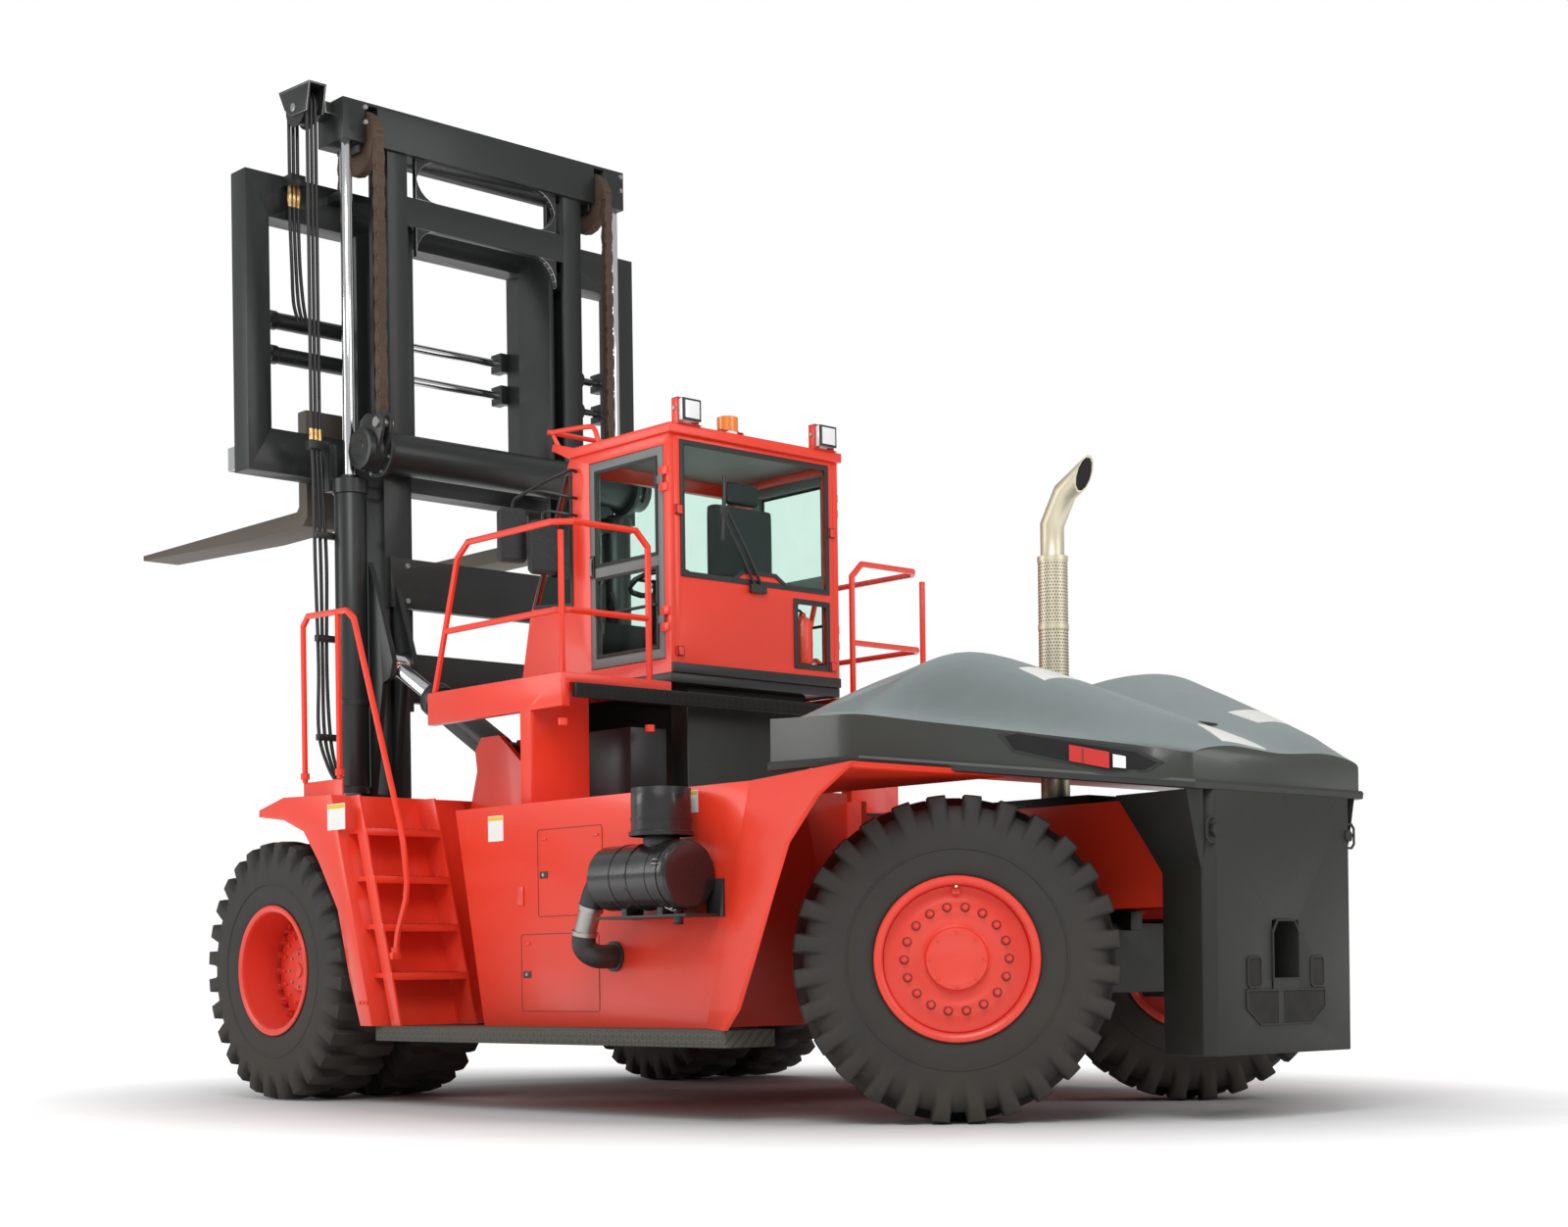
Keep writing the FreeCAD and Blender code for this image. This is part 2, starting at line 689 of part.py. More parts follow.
def carriage():
    """The fork carriage: a wide window frame with rollers' side plates that run in the inner stage."""
    x0 = carriage_x0
    x1 = carriage_x0 + carriage_t
    z0 = carriage_z0
    z1 = carriage_z0 + carriage_h
    plate_shape = box(x0, x1, -carriage_half_w, carriage_half_w, z0, z1)
    open_z0 = z0 + 300
    open_z1 = z1 - 300
    mid = 620.0
    for side in (1, -1):
        hole = box(x0 - 1, x1 + 1, mid + 190, carriage_half_w - 180, open_z0, open_z1)
        plate_shape = plate_shape.cut(hole if side > 0 else flip(hole))
    plate_shape = plate_shape.cut(box(x0 - 1, x1 + 1, -mid, mid, open_z0, open_z1))
    parts = [plate_shape]
    for side in (1, -1):
        leg = box(inner_x0 + 70, x0, 590, 630, z0 + 100, z1 - 200)
        roll_x = (inner_x0 + inner_x1) / 2
        piece = [leg]
        for roll_z in (z0 + 260, z1 - 420):
            piece.append(rod((roll_x, 600, roll_z), (roll_x, inner_y_in + 10, roll_z), 40, 6))
            piece.append(rod((roll_x, inner_y_in + 2, roll_z), (roll_x, inner_web_y - inner_web_half - move_gap, roll_z), small_roller_r, 12))
        lug_x = sheave_x + sheave_r
        piece.append(box(lug_x, x0, chain_y - 50, chain_y + 50, chain_lug_z - 60, chain_lug_z))
        parts.extend([p if side > 0 else flip(p) for p in piece])
    return fuse(parts)


export("carriage", carriage())


def fork_shaft():
    """The round shaft the forks hang from and slide along."""
    z = carriage_z0 + 120
    x = carriage_x0 + carriage_t + 90
    bar = rod((x, -carriage_half_w + 40, z), (x, carriage_half_w - 40, z), 50)
    ends = []
    for y in (-carriage_half_w + 40, -30, carriage_half_w - 100):
        ends.append(box(carriage_x0 + carriage_t, x + 70, y, y + 60, z - 80, z + 80))
    return fuse([bar] + ends)


export("fork_shaft", fork_shaft())


def fork(side):
    """An L fork: a shank with an eye on the shaft, and a blade that tapers to its tip."""
    x0 = carriage_x0 + carriage_t + 10
    x1 = x0 + fork_t
    z_eye = carriage_z0 + 120
    heel_z = fork_top_z - fork_t
    outline = [(x0, heel_z + 60), (x0 + 60, heel_z), (x0 + fork_len * 0.35, heel_z), (fork_tip_x, fork_top_z - fork_tip_t),
               (fork_tip_x, fork_top_z), (x1 + 30, fork_top_z), (x1, fork_top_z + 30), (x1, z_eye + 400), (x0, z_eye + 400)]
    y0 = fork_y - fork_w / 2
    blade = prism_xz(outline, y0, y0 + fork_w)
    x_shaft = carriage_x0 + carriage_t + 90
    eye = rod((x_shaft, y0, z_eye), (x_shaft, y0 + fork_w, z_eye), 100)
    eye = eye.common(box(x0, x0 + 400, 0, 3000, 0, 9000))
    piece = blade.fuse(eye)
    piece = piece.cut(bore((x_shaft, 0, z_eye), (x_shaft, 3000, z_eye), 50 + running_gap)).removeSplitter()
    return piece if side > 0 else flip(piece)


export("left_fork", fork(1))
export("right_fork", fork(-1))

# ---------------------------------------------------------------- tilt cylinders
tilt_dx = tilt_rod_pin_x - tilt_base_pin_x
tilt_dz = tilt_rod_pin_z - tilt_base_pin_z
tilt_len = math.hypot(tilt_dx, tilt_dz)
tilt_barrel_r = 105.0
tilt_rod_r = 55.0
tilt_barrel_len = 800.0
tilt_eye_gap = 11.0


def along_tilt(shape, side):
    """Moves a cylinder drawn along +X at the base pin to its place on the truck."""
    angle = math.degrees(math.atan2(tilt_dz, tilt_dx))
    out = shape.copy()
    out.rotate(V(0, 0, 0), V(0, 1, 0), -angle)
    out.translate(V(tilt_base_pin_x, side * tilt_y, tilt_base_pin_z))
    return out


def tilt_barrel():
    eye = rod((0, -70, 0), (0, 70, 0), 92, 10)
    barrel = rod((60, 0, 0), (tilt_barrel_len, 0, 0), tilt_barrel_r, 16)
    collar = rod((tilt_barrel_len, 0, 0), (tilt_barrel_len + 90, 0, 0), tilt_barrel_r + 15, 16)
    piece = fuse([eye, barrel, collar])
    piece = piece.cut(bore((0, -200, 0), (0, 200, 0), tilt_pin_r + running_gap))
    return piece.cut(bore((130, 0, 0), (tilt_barrel_len + 200, 0, 0), tilt_rod_r + running_gap))


def tilt_rod():
    eye = rod((tilt_len, -60, 0), (tilt_len, 60, 0), 94, 10)
    bar = rod((520, 0, 0), (tilt_len - 60, 0, 0), tilt_rod_r)
    piece = fuse([eye, bar])
    return piece.cut(bore((tilt_len, -200, 0), (tilt_len, 200, 0), tilt_pin_r + tilt_eye_gap))


for side, word in ((1, "left"), (-1, "right")):
    export(word + "_tilt_barrel", along_tilt(tilt_barrel(), side))
    export(word + "_tilt_rod", along_tilt(tilt_rod(), side))

# ---------------------------------------------------------------- counterweight and hood
cw_half_w = 640.0


def counterweight():
    """A cast block, wide at the top and narrow where the steered wheels swing."""
    low = [(cw_front_x, -480), (cw_rear_x + 60, -600), (cw_rear_x, -560), (cw_rear_x, 560), (cw_rear_x + 60, 600),
           (cw_front_x, 480)]
    block = prism_xy(low, cw_z0, cw_z1)
    tow = box(cw_rear_x - 1, cw_rear_x + 260, -110, 110, 560, 1000)
    block = block.cut(tow)
    tow_pin = rod((cw_rear_x + 120, 0, 560), (cw_rear_x + 120, 0, 1000), 30)
    return block.fuse(tow_pin).removeSplitter()


export("counterweight", counterweight())

stack_x = 180.0
stack_y = -30.0
shield_r = 80.0


def hood():
    """The engine cover: two long humps with a valley between, falling to the rear."""
    front = [(-1700, 1840), (-1700, 2080), (-1500, 2090), (-900, 2330), (-300, 2290), (0, 2200),
             (300, 2290), (900, 2330), (1500, 2090), (1700, 2080), (1700, 1840)]
    rear = [(-700, 1660), (-700, 1800), (-660, 1830), (-420, 1860), (-200, 1850), (0, 1840),
            (200, 1850), (420, 1860), (660, 1830), (700, 1800), (700, 1660)]
    peak = [(-1650, 1830), (-1650, 2060), (-1450, 2100), (-1000, 2455), (-350, 2400), (0, 2280),
            (350, 2400), (1000, 2455), (1450, 2100), (1650, 2060), (1650, 1830)]

    def ring(points, x):
        return [V(x, y, z) for y, z in points]

    first = hull_between(ring(front, 620), ring(peak, 0))
    second = hull_between(ring(peak, 0), ring(rear, cw_rear_x + 20))
    cover = first.fuse(second).removeSplitter()
    return cover.cut(rod((stack_x, stack_y, 0), (stack_x, stack_y, 3000), shield_r + 1, 16))


export("hood", hood())
export("engine_block", box(-300, 980, rail_t - rear_rail_half_w, rear_rail_half_w - rail_t, rear_rail_z0 + 20, engine_top))

# ---------------------------------------------------------------- side bodies, fenders, steps
panel_z1 = 1770.0


side_front_x = 3420.0


side_low_x = 1125.0
side_high_x = 753.0
flare_y = 2095.0
flare_edge = [(560, step_z1), (461, 588), (345, 832), (193, 1167), (81, 1403), (-133, 1619), (-394, panel_z1)]


def side_body(side):
    """The box beside the frame: tank and hydraulic reservoir, flared over the steered wheel."""
    y_in = mid_rail_half_w + rail_t
    t = plate
    lean = (side_low_x - side_high_x) / (panel_z1 - step_z1)
    tank = prism_xz([(side_low_x, step_z1), (side_front_x - 270, step_z1), (side_front_x, panel_z1), (side_low_x, panel_z1)],
                    y_in, body_half_w)
    panel = prism_xz([(side_low_x, step_z1), (side_low_x, panel_z1), (side_high_x, panel_z1)], body_half_w - t, body_half_w)
    crease = [(side_low_x + 12 - (z - step_z1) * lean, body_half_w - 5, z) for x, z in flare_edge]
    edge = [(x, flare_y, z) for x, z in flare_edge]
    flare = skin(crease, edge, (-12, -22, 0))
    end_x = flare_edge[-1][0]
    top = prism_xy([(side_low_x, 1000), (side_low_x, body_half_w - 10), (side_high_x, body_half_w - 10),
                    (end_x + 10, flare_y - 19), (end_x + 10, 1000)], panel_z1 - 25, panel_z1)
    piece = fuse([tank, panel, flare, top])
    return piece if side > 0 else flip(piece)


fender_foot_x = 3755.0
fender_top = [(5041, 1808), (5035, 1853), (4740, 1916), (4178, 1899)]
fender_arch = [(4739, 1773), (4505, 1690), (4336, 1500), (4117, 1186), (3993, 763), (3879, step_z1)]


def fender(side):
    """The front fender: a folded top over the twin tyres, a rear bulkhead and a skirt cut to the arch."""
    y_in = tyre_inner_face_y - 20
    x0 = fender_foot_x
    top_x, top_z = fender_top[-1]
    t = plate
    shell = fender_top + [(x0, step_z1), (x0 + t, step_z1), (top_x + t, top_z - t), (4740, 1916 - t)]
    top = prism_xz(shell, y_in, fender_half_w - t)
    notch = box(x0 - 1, 4190, y_in - 1, tilt_y + 175, step_z1 - 1, top_z + 1)
    top = top.cut(notch)
    skirt = prism_xz(fender_top + [(x0, step_z1)] + fender_arch[::-1], fender_half_w - t, fender_half_w)
    toe = box(4250, 4700, handrail_y - 12, handrail_y, 1880, 2010)
    piece = fuse([top, skirt, toe.cut(top)])
    return piece if side > 0 else flip(piece)


stair_y0 = 1480.0
stair_y1 = 2040.0
stair_slope = (fender_top[-1][0] - fender_foot_x) / (fender_top[-1][1] - step_z1)
stair_foot_x = 3560.0
tread_rise = 295.0


def stair_x(z):
    """Where the stairs' rear edge stands at a height; it leans forward like the bulkhead."""
    return stair_foot_x + (z - step_z1) * stair_slope


def ladder(side):
    """Treads between two leaning stringers, against the fender's bulkhead."""
    parts = []
    z0 = step_z1
    z1 = fender_top[-1][1] - 10
    reach = fender_foot_x - stair_foot_x
    for y0, width in ((stair_y1 - 14, 95), (stair_y0, reach)):
        outline = [(stair_x(z0), z0), (stair_x(z0) + width, z0), (stair_x(z1) + width, z1), (stair_x(z1), z1)]
        parts.append(prism_xz(outline, y0, y0 + 14))
    for i in range(1, 5):
        z = z0 + 25 + i * tread_rise
        outline = [(stair_x(z) - 10, z - 45), (stair_x(z) - 10, z), (stair_x(z) + reach, z), (stair_x(z) + reach - 9, z - 30),
                   (stair_x(z) + 5, z - 30), (stair_x(z) + 5, z - 45)]
        parts.append(prism_xz(outline, stair_y0, stair_y1))
    piece = fuse(parts)
    return piece if side > 0 else flip(piece)


for side, word in ((1, "left"), (-1, "right")):
    export(word + "_side_body", side_body(side))
export("front_fenders", group([fender(1), fender(-1)]))
export("ladders", group([ladder(1), ladder(-1)]))

board = prism_xy([(585, body_half_w), (1060, body_half_w), (1060, body_half_w - 60), (3800, body_half_w - 60), (3800, step_half_w),
                  (585, step_half_w)], step_z0, step_z1)
export("running_boards", both(board))

# ---------------------------------------------------------------- cab
roof_t = 60.0
cab_front_top_x = 3510.0
cab_lip_x = 3725.0
cab_nose_x = 4010.0
cab_nose_z = 3110.0
cab_foot_x = 4130.0
cab_pillar_x = 3500.0


def cab_side_outline():
    return [(cab_rear_x, cab_floor_z), (cab_foot_x, cab_floor_z), (cab_nose_x, cab_nose_z), (cab_front_top_x + 60, cab_roof_z - roof_t),
            (cab_rear_x, cab_roof_z - roof_t)]


def inset(x0, x1, z0, z1, corner, y0, y1):
    """A rounded rectangle in X and Z, used for window and door openings."""
    block = box(x0, x1, y0, y1, z0, z1)
    edges = [e for e in block.Edges if abs(e.Vertexes[0].Y - e.Vertexes[1].Y) > 1]
    return block.makeFillet(corner, edges)


door_x0 = cab_rear_x + 60
door_x1 = door_x0 + 720
door_z0 = cab_floor_z + 90
door_z1 = cab_roof_z - roof_t - 70


hinge_x = door_x0 - 3
hinge_y = cab_half_w + 16
hinge_levels = (2850.0, 3700.0)
hinge_pin_r = 7.0


def hinge_knuckle(z0, z1, way):
    """A hinge barrel with its leaf; way is -1 on the cab post and 1 on the door."""
    barrel = rod((hinge_x, hinge_y, z0), (hinge_x, hinge_y, z1), 13, 8)
    if way < 0:
        leaf = box(hinge_x - 45, hinge_x - 3, cab_half_w, hinge_y, z0, z1)
        return barrel.fuse(leaf)
    leaf = box(door_x0, door_x0 + 42, cab_half_w, hinge_y, z0, z1)
    return barrel.fuse(leaf).cut(bore((hinge_x, hinge_y, z0 - 1), (hinge_x, hinge_y, z1 + 1), hinge_pin_r + running_gap, 8))


def cab_side(side):
    """A side frame: sill, rear post, roof rail and the raked front quarter, open for the door."""
    wall = prism_xz(cab_side_outline(), cab_half_w - cab_wall, cab_half_w)
    door = box(door_x0 - move_gap, door_x1 + move_gap, 0, 2000, door_z0 - move_gap, door_z1 + move_gap)
    quarter = prism_xz([(cab_pillar_x + 60, 3120), (cab_nose_x - 45, 3150), (cab_front_top_x + 100, cab_roof_z - roof_t - 90),
                        (cab_pillar_x + 60, cab_roof_z - roof_t - 90)], 0, 2000)
    wall = wall.cut(door).cut(quarter)
    for z in hinge_levels:
        wall = wall.fuse(hinge_knuckle(z, z + 50, -1)).fuse(hinge_knuckle(z + 100, z + 150, -1))
        wall = wall.fuse(pin((hinge_x, hinge_y, z), (hinge_x, hinge_y, z + 150), hinge_pin_r))
    wall = wall.removeSplitter()
    return wall if side > 0 else flip(wall)


def cab_quarter_glass(side):
    g = move_gap * 0
    pane = prism_xz([(cab_pillar_x + 60 + g, 3120), (cab_nose_x - 45, 3150), (cab_front_top_x + 100, cab_roof_z - roof_t - 90),
                     (cab_pillar_x + 60, cab_roof_z - roof_t - 90)], cab_half_w - cab_wall + 15, cab_half_w - cab_wall + 23)
    return pane if side > 0 else flip(pane)


inner_w = cab_half_w - cab_wall


def cab_rear():
    wall = box(cab_rear_x, cab_rear_x + cab_wall, -inner_w, inner_w, cab_floor_z, cab_roof_z - roof_t)
    main = box(cab_rear_x - 5, cab_rear_x + 100, -600, 600, 3210, 4000)
    small = box(cab_rear_x - 5, cab_rear_x + 100, -600, -330, 2720, 3120)
    return wall.cut(main).cut(small)


def cab_front():
    """The lower front panel and the two posts that frame the windscreen."""
    lower = prism_xz([(cab_foot_x - cab_wall, cab_floor_z), (cab_foot_x, cab_floor_z), (cab_nose_x, cab_nose_z), (cab_nose_x - cab_wall, cab_nose_z)],
                     -inner_w, inner_w)
    header = prism_xz([(3610, 3960), (cab_front_top_x + 60, cab_roof_z - roof_t), (cab_front_top_x + 10, cab_roof_z - roof_t), (3560, 3960)],
                      -inner_w, inner_w)
    return lower, header


front_lower, front_header = cab_front()
for side, word in ((1, "left"), (-1, "right")):
    export("cab_" + word + "_side", cab_side(side))
export("cab_rear_wall", cab_rear())
export("cab_front_panel", group([front_lower, front_header]))
export("cab_roof", prism_xz([(cab_rear_x - 30, cab_roof_z - roof_t), (cab_rear_x - 30, cab_roof_z), (cab_front_top_x, cab_roof_z),
                             (cab_lip_x, cab_roof_z + 60), (cab_lip_x + 20, cab_roof_z + 20), (cab_front_top_x + 60, cab_roof_z - roof_t)],
                            -cab_half_w - 15, cab_half_w + 15))
export("cab_floor", box(cab_rear_x + cab_wall, cab_foot_x - cab_wall - 20, -inner_w, inner_w, cab_floor_z, cab_floor_z + 40))
export("cab_base", group([box(cab_rear_x, cab_foot_x - 60, -cab_half_w, cab_half_w, cab_floor_z - 60, cab_floor_z),
                          ]))
windscreen = prism_xz([(cab_nose_x - cab_wall + 12, cab_nose_z), (cab_nose_x - cab_wall + 20, cab_nose_z), (3585, 3960), (3577, 3960)], -inner_w, inner_w)
rear_pane = box(cab_rear_x + 16, cab_rear_x + 24, -600, 600, 3210, 4000)
small_pane = box(cab_rear_x + 16, cab_rear_x + 24, -600, -330, 2720, 3120)
export("cab_glass", group([windscreen, rear_pane, small_pane, cab_quarter_glass(1), cab_quarter_glass(-1)]))


def door(side):
    """A framed door with an upper and a lower window."""
    leaf = box(door_x0, door_x1, cab_half_w - cab_wall, cab_half_w, door_z0, door_z1)
    upper = box(door_x0 + 60, door_x1 - 60, 0, 2000, 3330, door_z1 - 60)
    lower = box(door_x0 + 60, door_x1 - 60, 0, 2000, door_z0 + 70, 3250)
    leaf = leaf.cut(upper).cut(lower)
    for z in hinge_levels:
        leaf = leaf.fuse(hinge_knuckle(z + 50 + running_gap, z + 100 - running_gap, 1))
    leaf = leaf.removeSplitter()
    return leaf if side > 0 else flip(leaf)


def door_glass(side):
    y0 = cab_half_w - cab_wall + 15
    panes = group([box(door_x0 + 60, door_x1 - 60, y0, y0 + 8, 3330, door_z1 - 60),
                   box(door_x0 + 60, door_x1 - 60, y0, y0 + 8, door_z0 + 70, 3250)])
    return panes if side > 0 else flip(panes)


for side, word in ((1, "left"), (-1, "right")):
    export(word + "_door", door(side))
    export(word + "_door_glass", door_glass(side))

seat_base = box(2760, 3180, -250, 250, cab_floor_z + 40, cab_floor_z + 380)
seat_pan = box(2780, 3280, -260, 260, cab_floor_z + 380, cab_floor_z + 520)
seat_back = prism_xz([(2700, 3080), (2800, 3120), (2760, 3720), (2660, 3700)], -250, 250)
export("seat", fuse([seat_base, seat_pan, seat_back]))
column = rod((3760, 0, cab_floor_z + 20), (3560, 0, 3290), 35, 8)
wheel_ring = rod((3542, 0, 3320), (3550, 0, 3345), 215, 12).cut(rod((3540, 0, 3310), (3552, 0, 3355), 185, 12))
spokes = rod((3545, -200, 3332), (3545, 200, 3332), 12, 6)
dash = box(3800, 3930, -260, 260, cab_floor_z + 40, 3080)
export("steering_console", fuse([column, wheel_ring, spokes, rod((3560, 0, 3290), (3545, 0, 3345), 45, 12), dash]).cut(box(3000, 4200, -300, 300, 2000, cab_floor_z + 40)))


def lamp(y):
    return fuse([box(cab_rear_x - 60, cab_rear_x + 20, y - 70, y + 70, cab_roof_z + 20, cab_roof_z + 150),
                 box(cab_rear_x - 20, cab_rear_x + 60, y - 30, y + 30, cab_roof_z, cab_roof_z + 20)])


beacon = fuse([rod((cab_rear_x + 260, 0, cab_roof_z), (cab_rear_x + 260, 0, cab_roof_z + 60), 80, 8),
               rod((cab_rear_x + 260, 0, cab_roof_z + 60), (cab_rear_x + 260, 0, cab_roof_z + 170), 65, 12)])
export("cab_lamps", group([lamp(570), lamp(-570), beacon]))

# ---------------------------------------------------------------- under the cab, decks, rails
support = box(cab_rear_x + 60, 4040, -560, 560, 1640, cab_floor_z - 60)
export("cab_support", fuse([box(1680, 4040, -600, 600, rail_z1 + 0, 1720), box(cab_rear_x + 100, cab_rear_x + 260, -500, 500, 1720, cab_floor_z - 60),
                            box(3700, 3860, -500, 500, 1720, cab_floor_z - 60)]))
deck = []
for side in (1, -1):
    piece = fuse([box(cab_rear_x, platform_front_x, cab_half_w, platform_half_w, deck_z - 60, deck_z),
                  box(cab_rear_x, platform_front_x, platform_half_w, platform_half_w + 60, deck_z - 200, deck_z),
                  box(2900, 3000, 1100, platform_half_w + 60, panel_z1, deck_z - 60)])
    deck_left = piece if side > 0 else deck_left
    deck.append(piece if side > 0 else flip(piece))
export("platforms", group(deck))
rail_top_z = 3430.0
rail_mid_z = 2910.0
rail_r = 20.0
rails = []
y = platform_half_w + 30
hoop = tube_path([(platform_front_x - 30, y, deck_z - 30), (platform_front_x - 330, y, rail_top_z), (cab_rear_x + 30, y, rail_top_z),
                  (cab_rear_x + 30, cab_half_w + 150, rail_top_z), (cab_rear_x + 30, cab_half_w + 150, deck_z - 1)], rail_r, 90, 6)
post_lean = 300.0 / (rail_top_z - deck_z + 30)
middle = tube_path([(platform_front_x - 30 - post_lean * (rail_mid_z - deck_z + 30), y, rail_mid_z), (cab_rear_x + 30, y, rail_mid_z),
                    (cab_rear_x + 30, cab_half_w + 150, rail_mid_z)], rail_r, 60, 6)
corner = tube_path([(cab_rear_x + 30, y, rail_top_z - 60), (cab_rear_x + 30, y, deck_z - 1)], rail_r, 60, 6)
front = tube_path([(4680, handrail_y, 2010), (4680, handrail_y, 3060), (4110, handrail_y, 3040), (3590, handrail_y, 1636),
                   (3535, handrail_y, 1290), (3676, handrail_y, 985), (3676, handrail_y, 900)], rail_r, 60, 6)
upright = tube_path([(4275, handrail_y, 2010), (4275, handrail_y, 3045)], rail_r, 60, 6)
foot = box(3650, 3760, handrail_y - 20, handrail_y + 40, 880, 920)
loop = fuse([hoop, middle, corner]).cut(deck_left)
guard = fuse([front, upright, foot]).cut(ladder(1))
export("handrails", both(group([loop, guard])))

cleaner_y = 1910.0
canister_r = 175.0
canister_z = 1290.0
canister_x0 = 1028.0
canister_x1 = 1675.0
pre_r = 160.0
pre_x = 1250.0
pipe_r = 70.0
duct_x = 1867.0
duct_z = 897.0


def air_cleaner():
    """A canister on a bracket, its cap wider than the shell, with a pre-cleaner standing on it."""
    shell = rod((canister_x0 + 60, cleaner_y, canister_z), (canister_x1, cleaner_y, canister_z), canister_r, 16)
    cap = rod((canister_x0, cleaner_y, canister_z), (canister_x0 + 60, cleaner_y, canister_z), canister_r + 6, 16)
    band = rod((canister_x1 - 330, cleaner_y, canister_z), (canister_x1 - 310, cleaner_y, canister_z), canister_r + 8, 16)
    neck = rod((pre_x, cleaner_y, canister_z + 60), (pre_x, cleaner_y, 1500), 90)
    brim = rod((pre_x, cleaner_y, 1500), (pre_x, cleaner_y, 1525), pre_r + 14, 16)
    drum = rod((pre_x, cleaner_y, 1525), (pre_x, cleaner_y, 1756), pre_r, 16)
    shelf = box(canister_x0 - 40, 1742, body_half_w, cleaner_y + 60, 1069, 1084)
    back = box(canister_x0 - 66, 1100, body_half_w, body_half_w + 12, 1069, 1270)
    feet = [box(x, x + 40, cleaner_y - 60, cleaner_y + 60, 1080, 1135) for x in (1180, 1480)]
    spout = rod((canister_x0 + 90, cleaner_y, 1030), (canister_x0 + 90, cleaner_y, 1140), 26, 8)
    return fuse([shell, cap, band, neck, brim, drum, shelf, back, spout] + feet)


cleaner_shape = air_cleaner()
export("air_cleaner", cleaner_shape)
intake = tube_path([(canister_x1, cleaner_y, canister_z), (1790, cleaner_y, canister_z - 20), (1945, cleaner_y, duct_z),
                    (duct_x, body_half_w, duct_z)], pipe_r, 60, 10)
export("air_intake_pipe", intake.cut(cleaner_shape).cut(side_body(1)))


def exhaust():
    """The stack: a wide shield, a slimmer pipe, and an outlet that bends back and ends in a slant."""
    shield = rod((stack_x, stack_y, engine_top), (stack_x, stack_y, 3040), shield_r, 16)
    z = 3000.0
    outlet = tube_path([(stack_x, stack_y, z), (stack_x, stack_y, 3330), (stack_x - 330, stack_y, 3520)], outlet_r, 110, 12)
    mouth = tube_path([(stack_x - 120, stack_y, 3399), (stack_x - 340, stack_y, 3526)], outlet_r - 8, 20, 12)
    slant = prism_xz([(stack_x - 400, 3300), (stack_x - 170, 3300), (stack_x - 330, 3700), (stack_x - 400, 3700)],
                     stack_y - 100, stack_y + 100)
    return fuse([shield, outlet]).cut(slant).cut(mouth)


outlet_r = 66.0
export("exhaust_stack", exhaust())
export("valve_block", box(2750, 3300, 620, 900, 1770, 2270))
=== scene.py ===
"""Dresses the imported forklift: finishes, eased edges, tyres, chains, cab fittings and a plain studio."""
import json
import logging
import math
from dataclasses import dataclass
from enum import Enum
from typing import Iterable, Sequence

import bmesh
import bpy
from mathutils import Matrix, Vector
from mathutils.bvhtree import BVHTree

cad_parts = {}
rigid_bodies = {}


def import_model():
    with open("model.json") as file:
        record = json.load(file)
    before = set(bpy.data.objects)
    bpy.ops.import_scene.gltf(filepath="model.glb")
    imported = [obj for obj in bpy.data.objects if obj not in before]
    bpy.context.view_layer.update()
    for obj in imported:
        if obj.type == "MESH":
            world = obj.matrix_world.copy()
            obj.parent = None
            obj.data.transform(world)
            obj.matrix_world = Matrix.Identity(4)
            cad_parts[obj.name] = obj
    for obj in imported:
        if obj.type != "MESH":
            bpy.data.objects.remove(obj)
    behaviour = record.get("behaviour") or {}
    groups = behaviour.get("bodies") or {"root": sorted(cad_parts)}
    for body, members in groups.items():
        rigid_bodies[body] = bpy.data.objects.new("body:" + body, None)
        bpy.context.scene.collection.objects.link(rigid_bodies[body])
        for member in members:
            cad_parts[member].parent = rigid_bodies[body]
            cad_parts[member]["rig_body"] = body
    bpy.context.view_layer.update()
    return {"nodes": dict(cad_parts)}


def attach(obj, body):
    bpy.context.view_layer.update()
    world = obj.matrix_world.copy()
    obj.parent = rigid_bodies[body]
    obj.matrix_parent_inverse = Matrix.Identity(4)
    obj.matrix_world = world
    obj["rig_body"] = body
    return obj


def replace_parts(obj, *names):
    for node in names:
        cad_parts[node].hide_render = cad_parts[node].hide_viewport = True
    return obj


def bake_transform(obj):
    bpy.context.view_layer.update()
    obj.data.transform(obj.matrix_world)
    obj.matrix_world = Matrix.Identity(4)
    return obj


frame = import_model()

log = logging.getLogger("forklift")
Point = Sequence[float]
Colour = tuple[float, float, float, float]
Outline = Sequence[tuple[float, float]]

AXLE_X = -3.55  # the rear axle in the frame, metres; every other place is counted from it
FRONT_X = 4.9  # the front axle
REAR_X = 0.0  # the rear wheels
WHEEL_Z = 0.825  # the wheels' middle above the ground
KINGPIN_Y = 1.0  # a kingpin from the truck's middle
WHEEL_OFFSET = 0.25  # a rear wheel's middle from its kingpin
STEERED = 46  # how far the rear wheels are turned at rest, degrees
TWIN_Y = (1.225, 1.875)  # the twin front tyres from the truck's middle
HEAD_TAPER = 0.86  # a bolt head's top as a part of its foot
CHAIN_PITCH = 0.076  # from one chain pin to the next, about
LEAST_MITRE = 0.35  # keeps a sweep's sharpest corners from reaching far out
WELD = 1e-5  # points nearer than this are one
FLAT = 0.6  # faces that turn less than this are one, degrees
CORNER = 38.0  # edges that turn more than this are eased, degrees


def at(x: float, y: float, z: float) -> Vector:
    """A place given in metres from the rear axle, as a place in the frame.

    Args:
        x: metres from the rear axle, forward.
        y: metres from the middle, to the left.
        z: metres above the ground.

    Returns:
        The place.
    """
    return Vector((x + AXLE_X, y, z))


def mm(x: float, y: float, z: float) -> Vector:
    """A place given in millimetres from the rear axle, as a place in the frame.

    Args:
        x: millimetres from the rear axle, forward.
        y: millimetres from the middle, to the left.
        z: millimetres above the ground.

    Returns:
        The place.
    """
    return at(x / 1000, y / 1000, z / 1000)


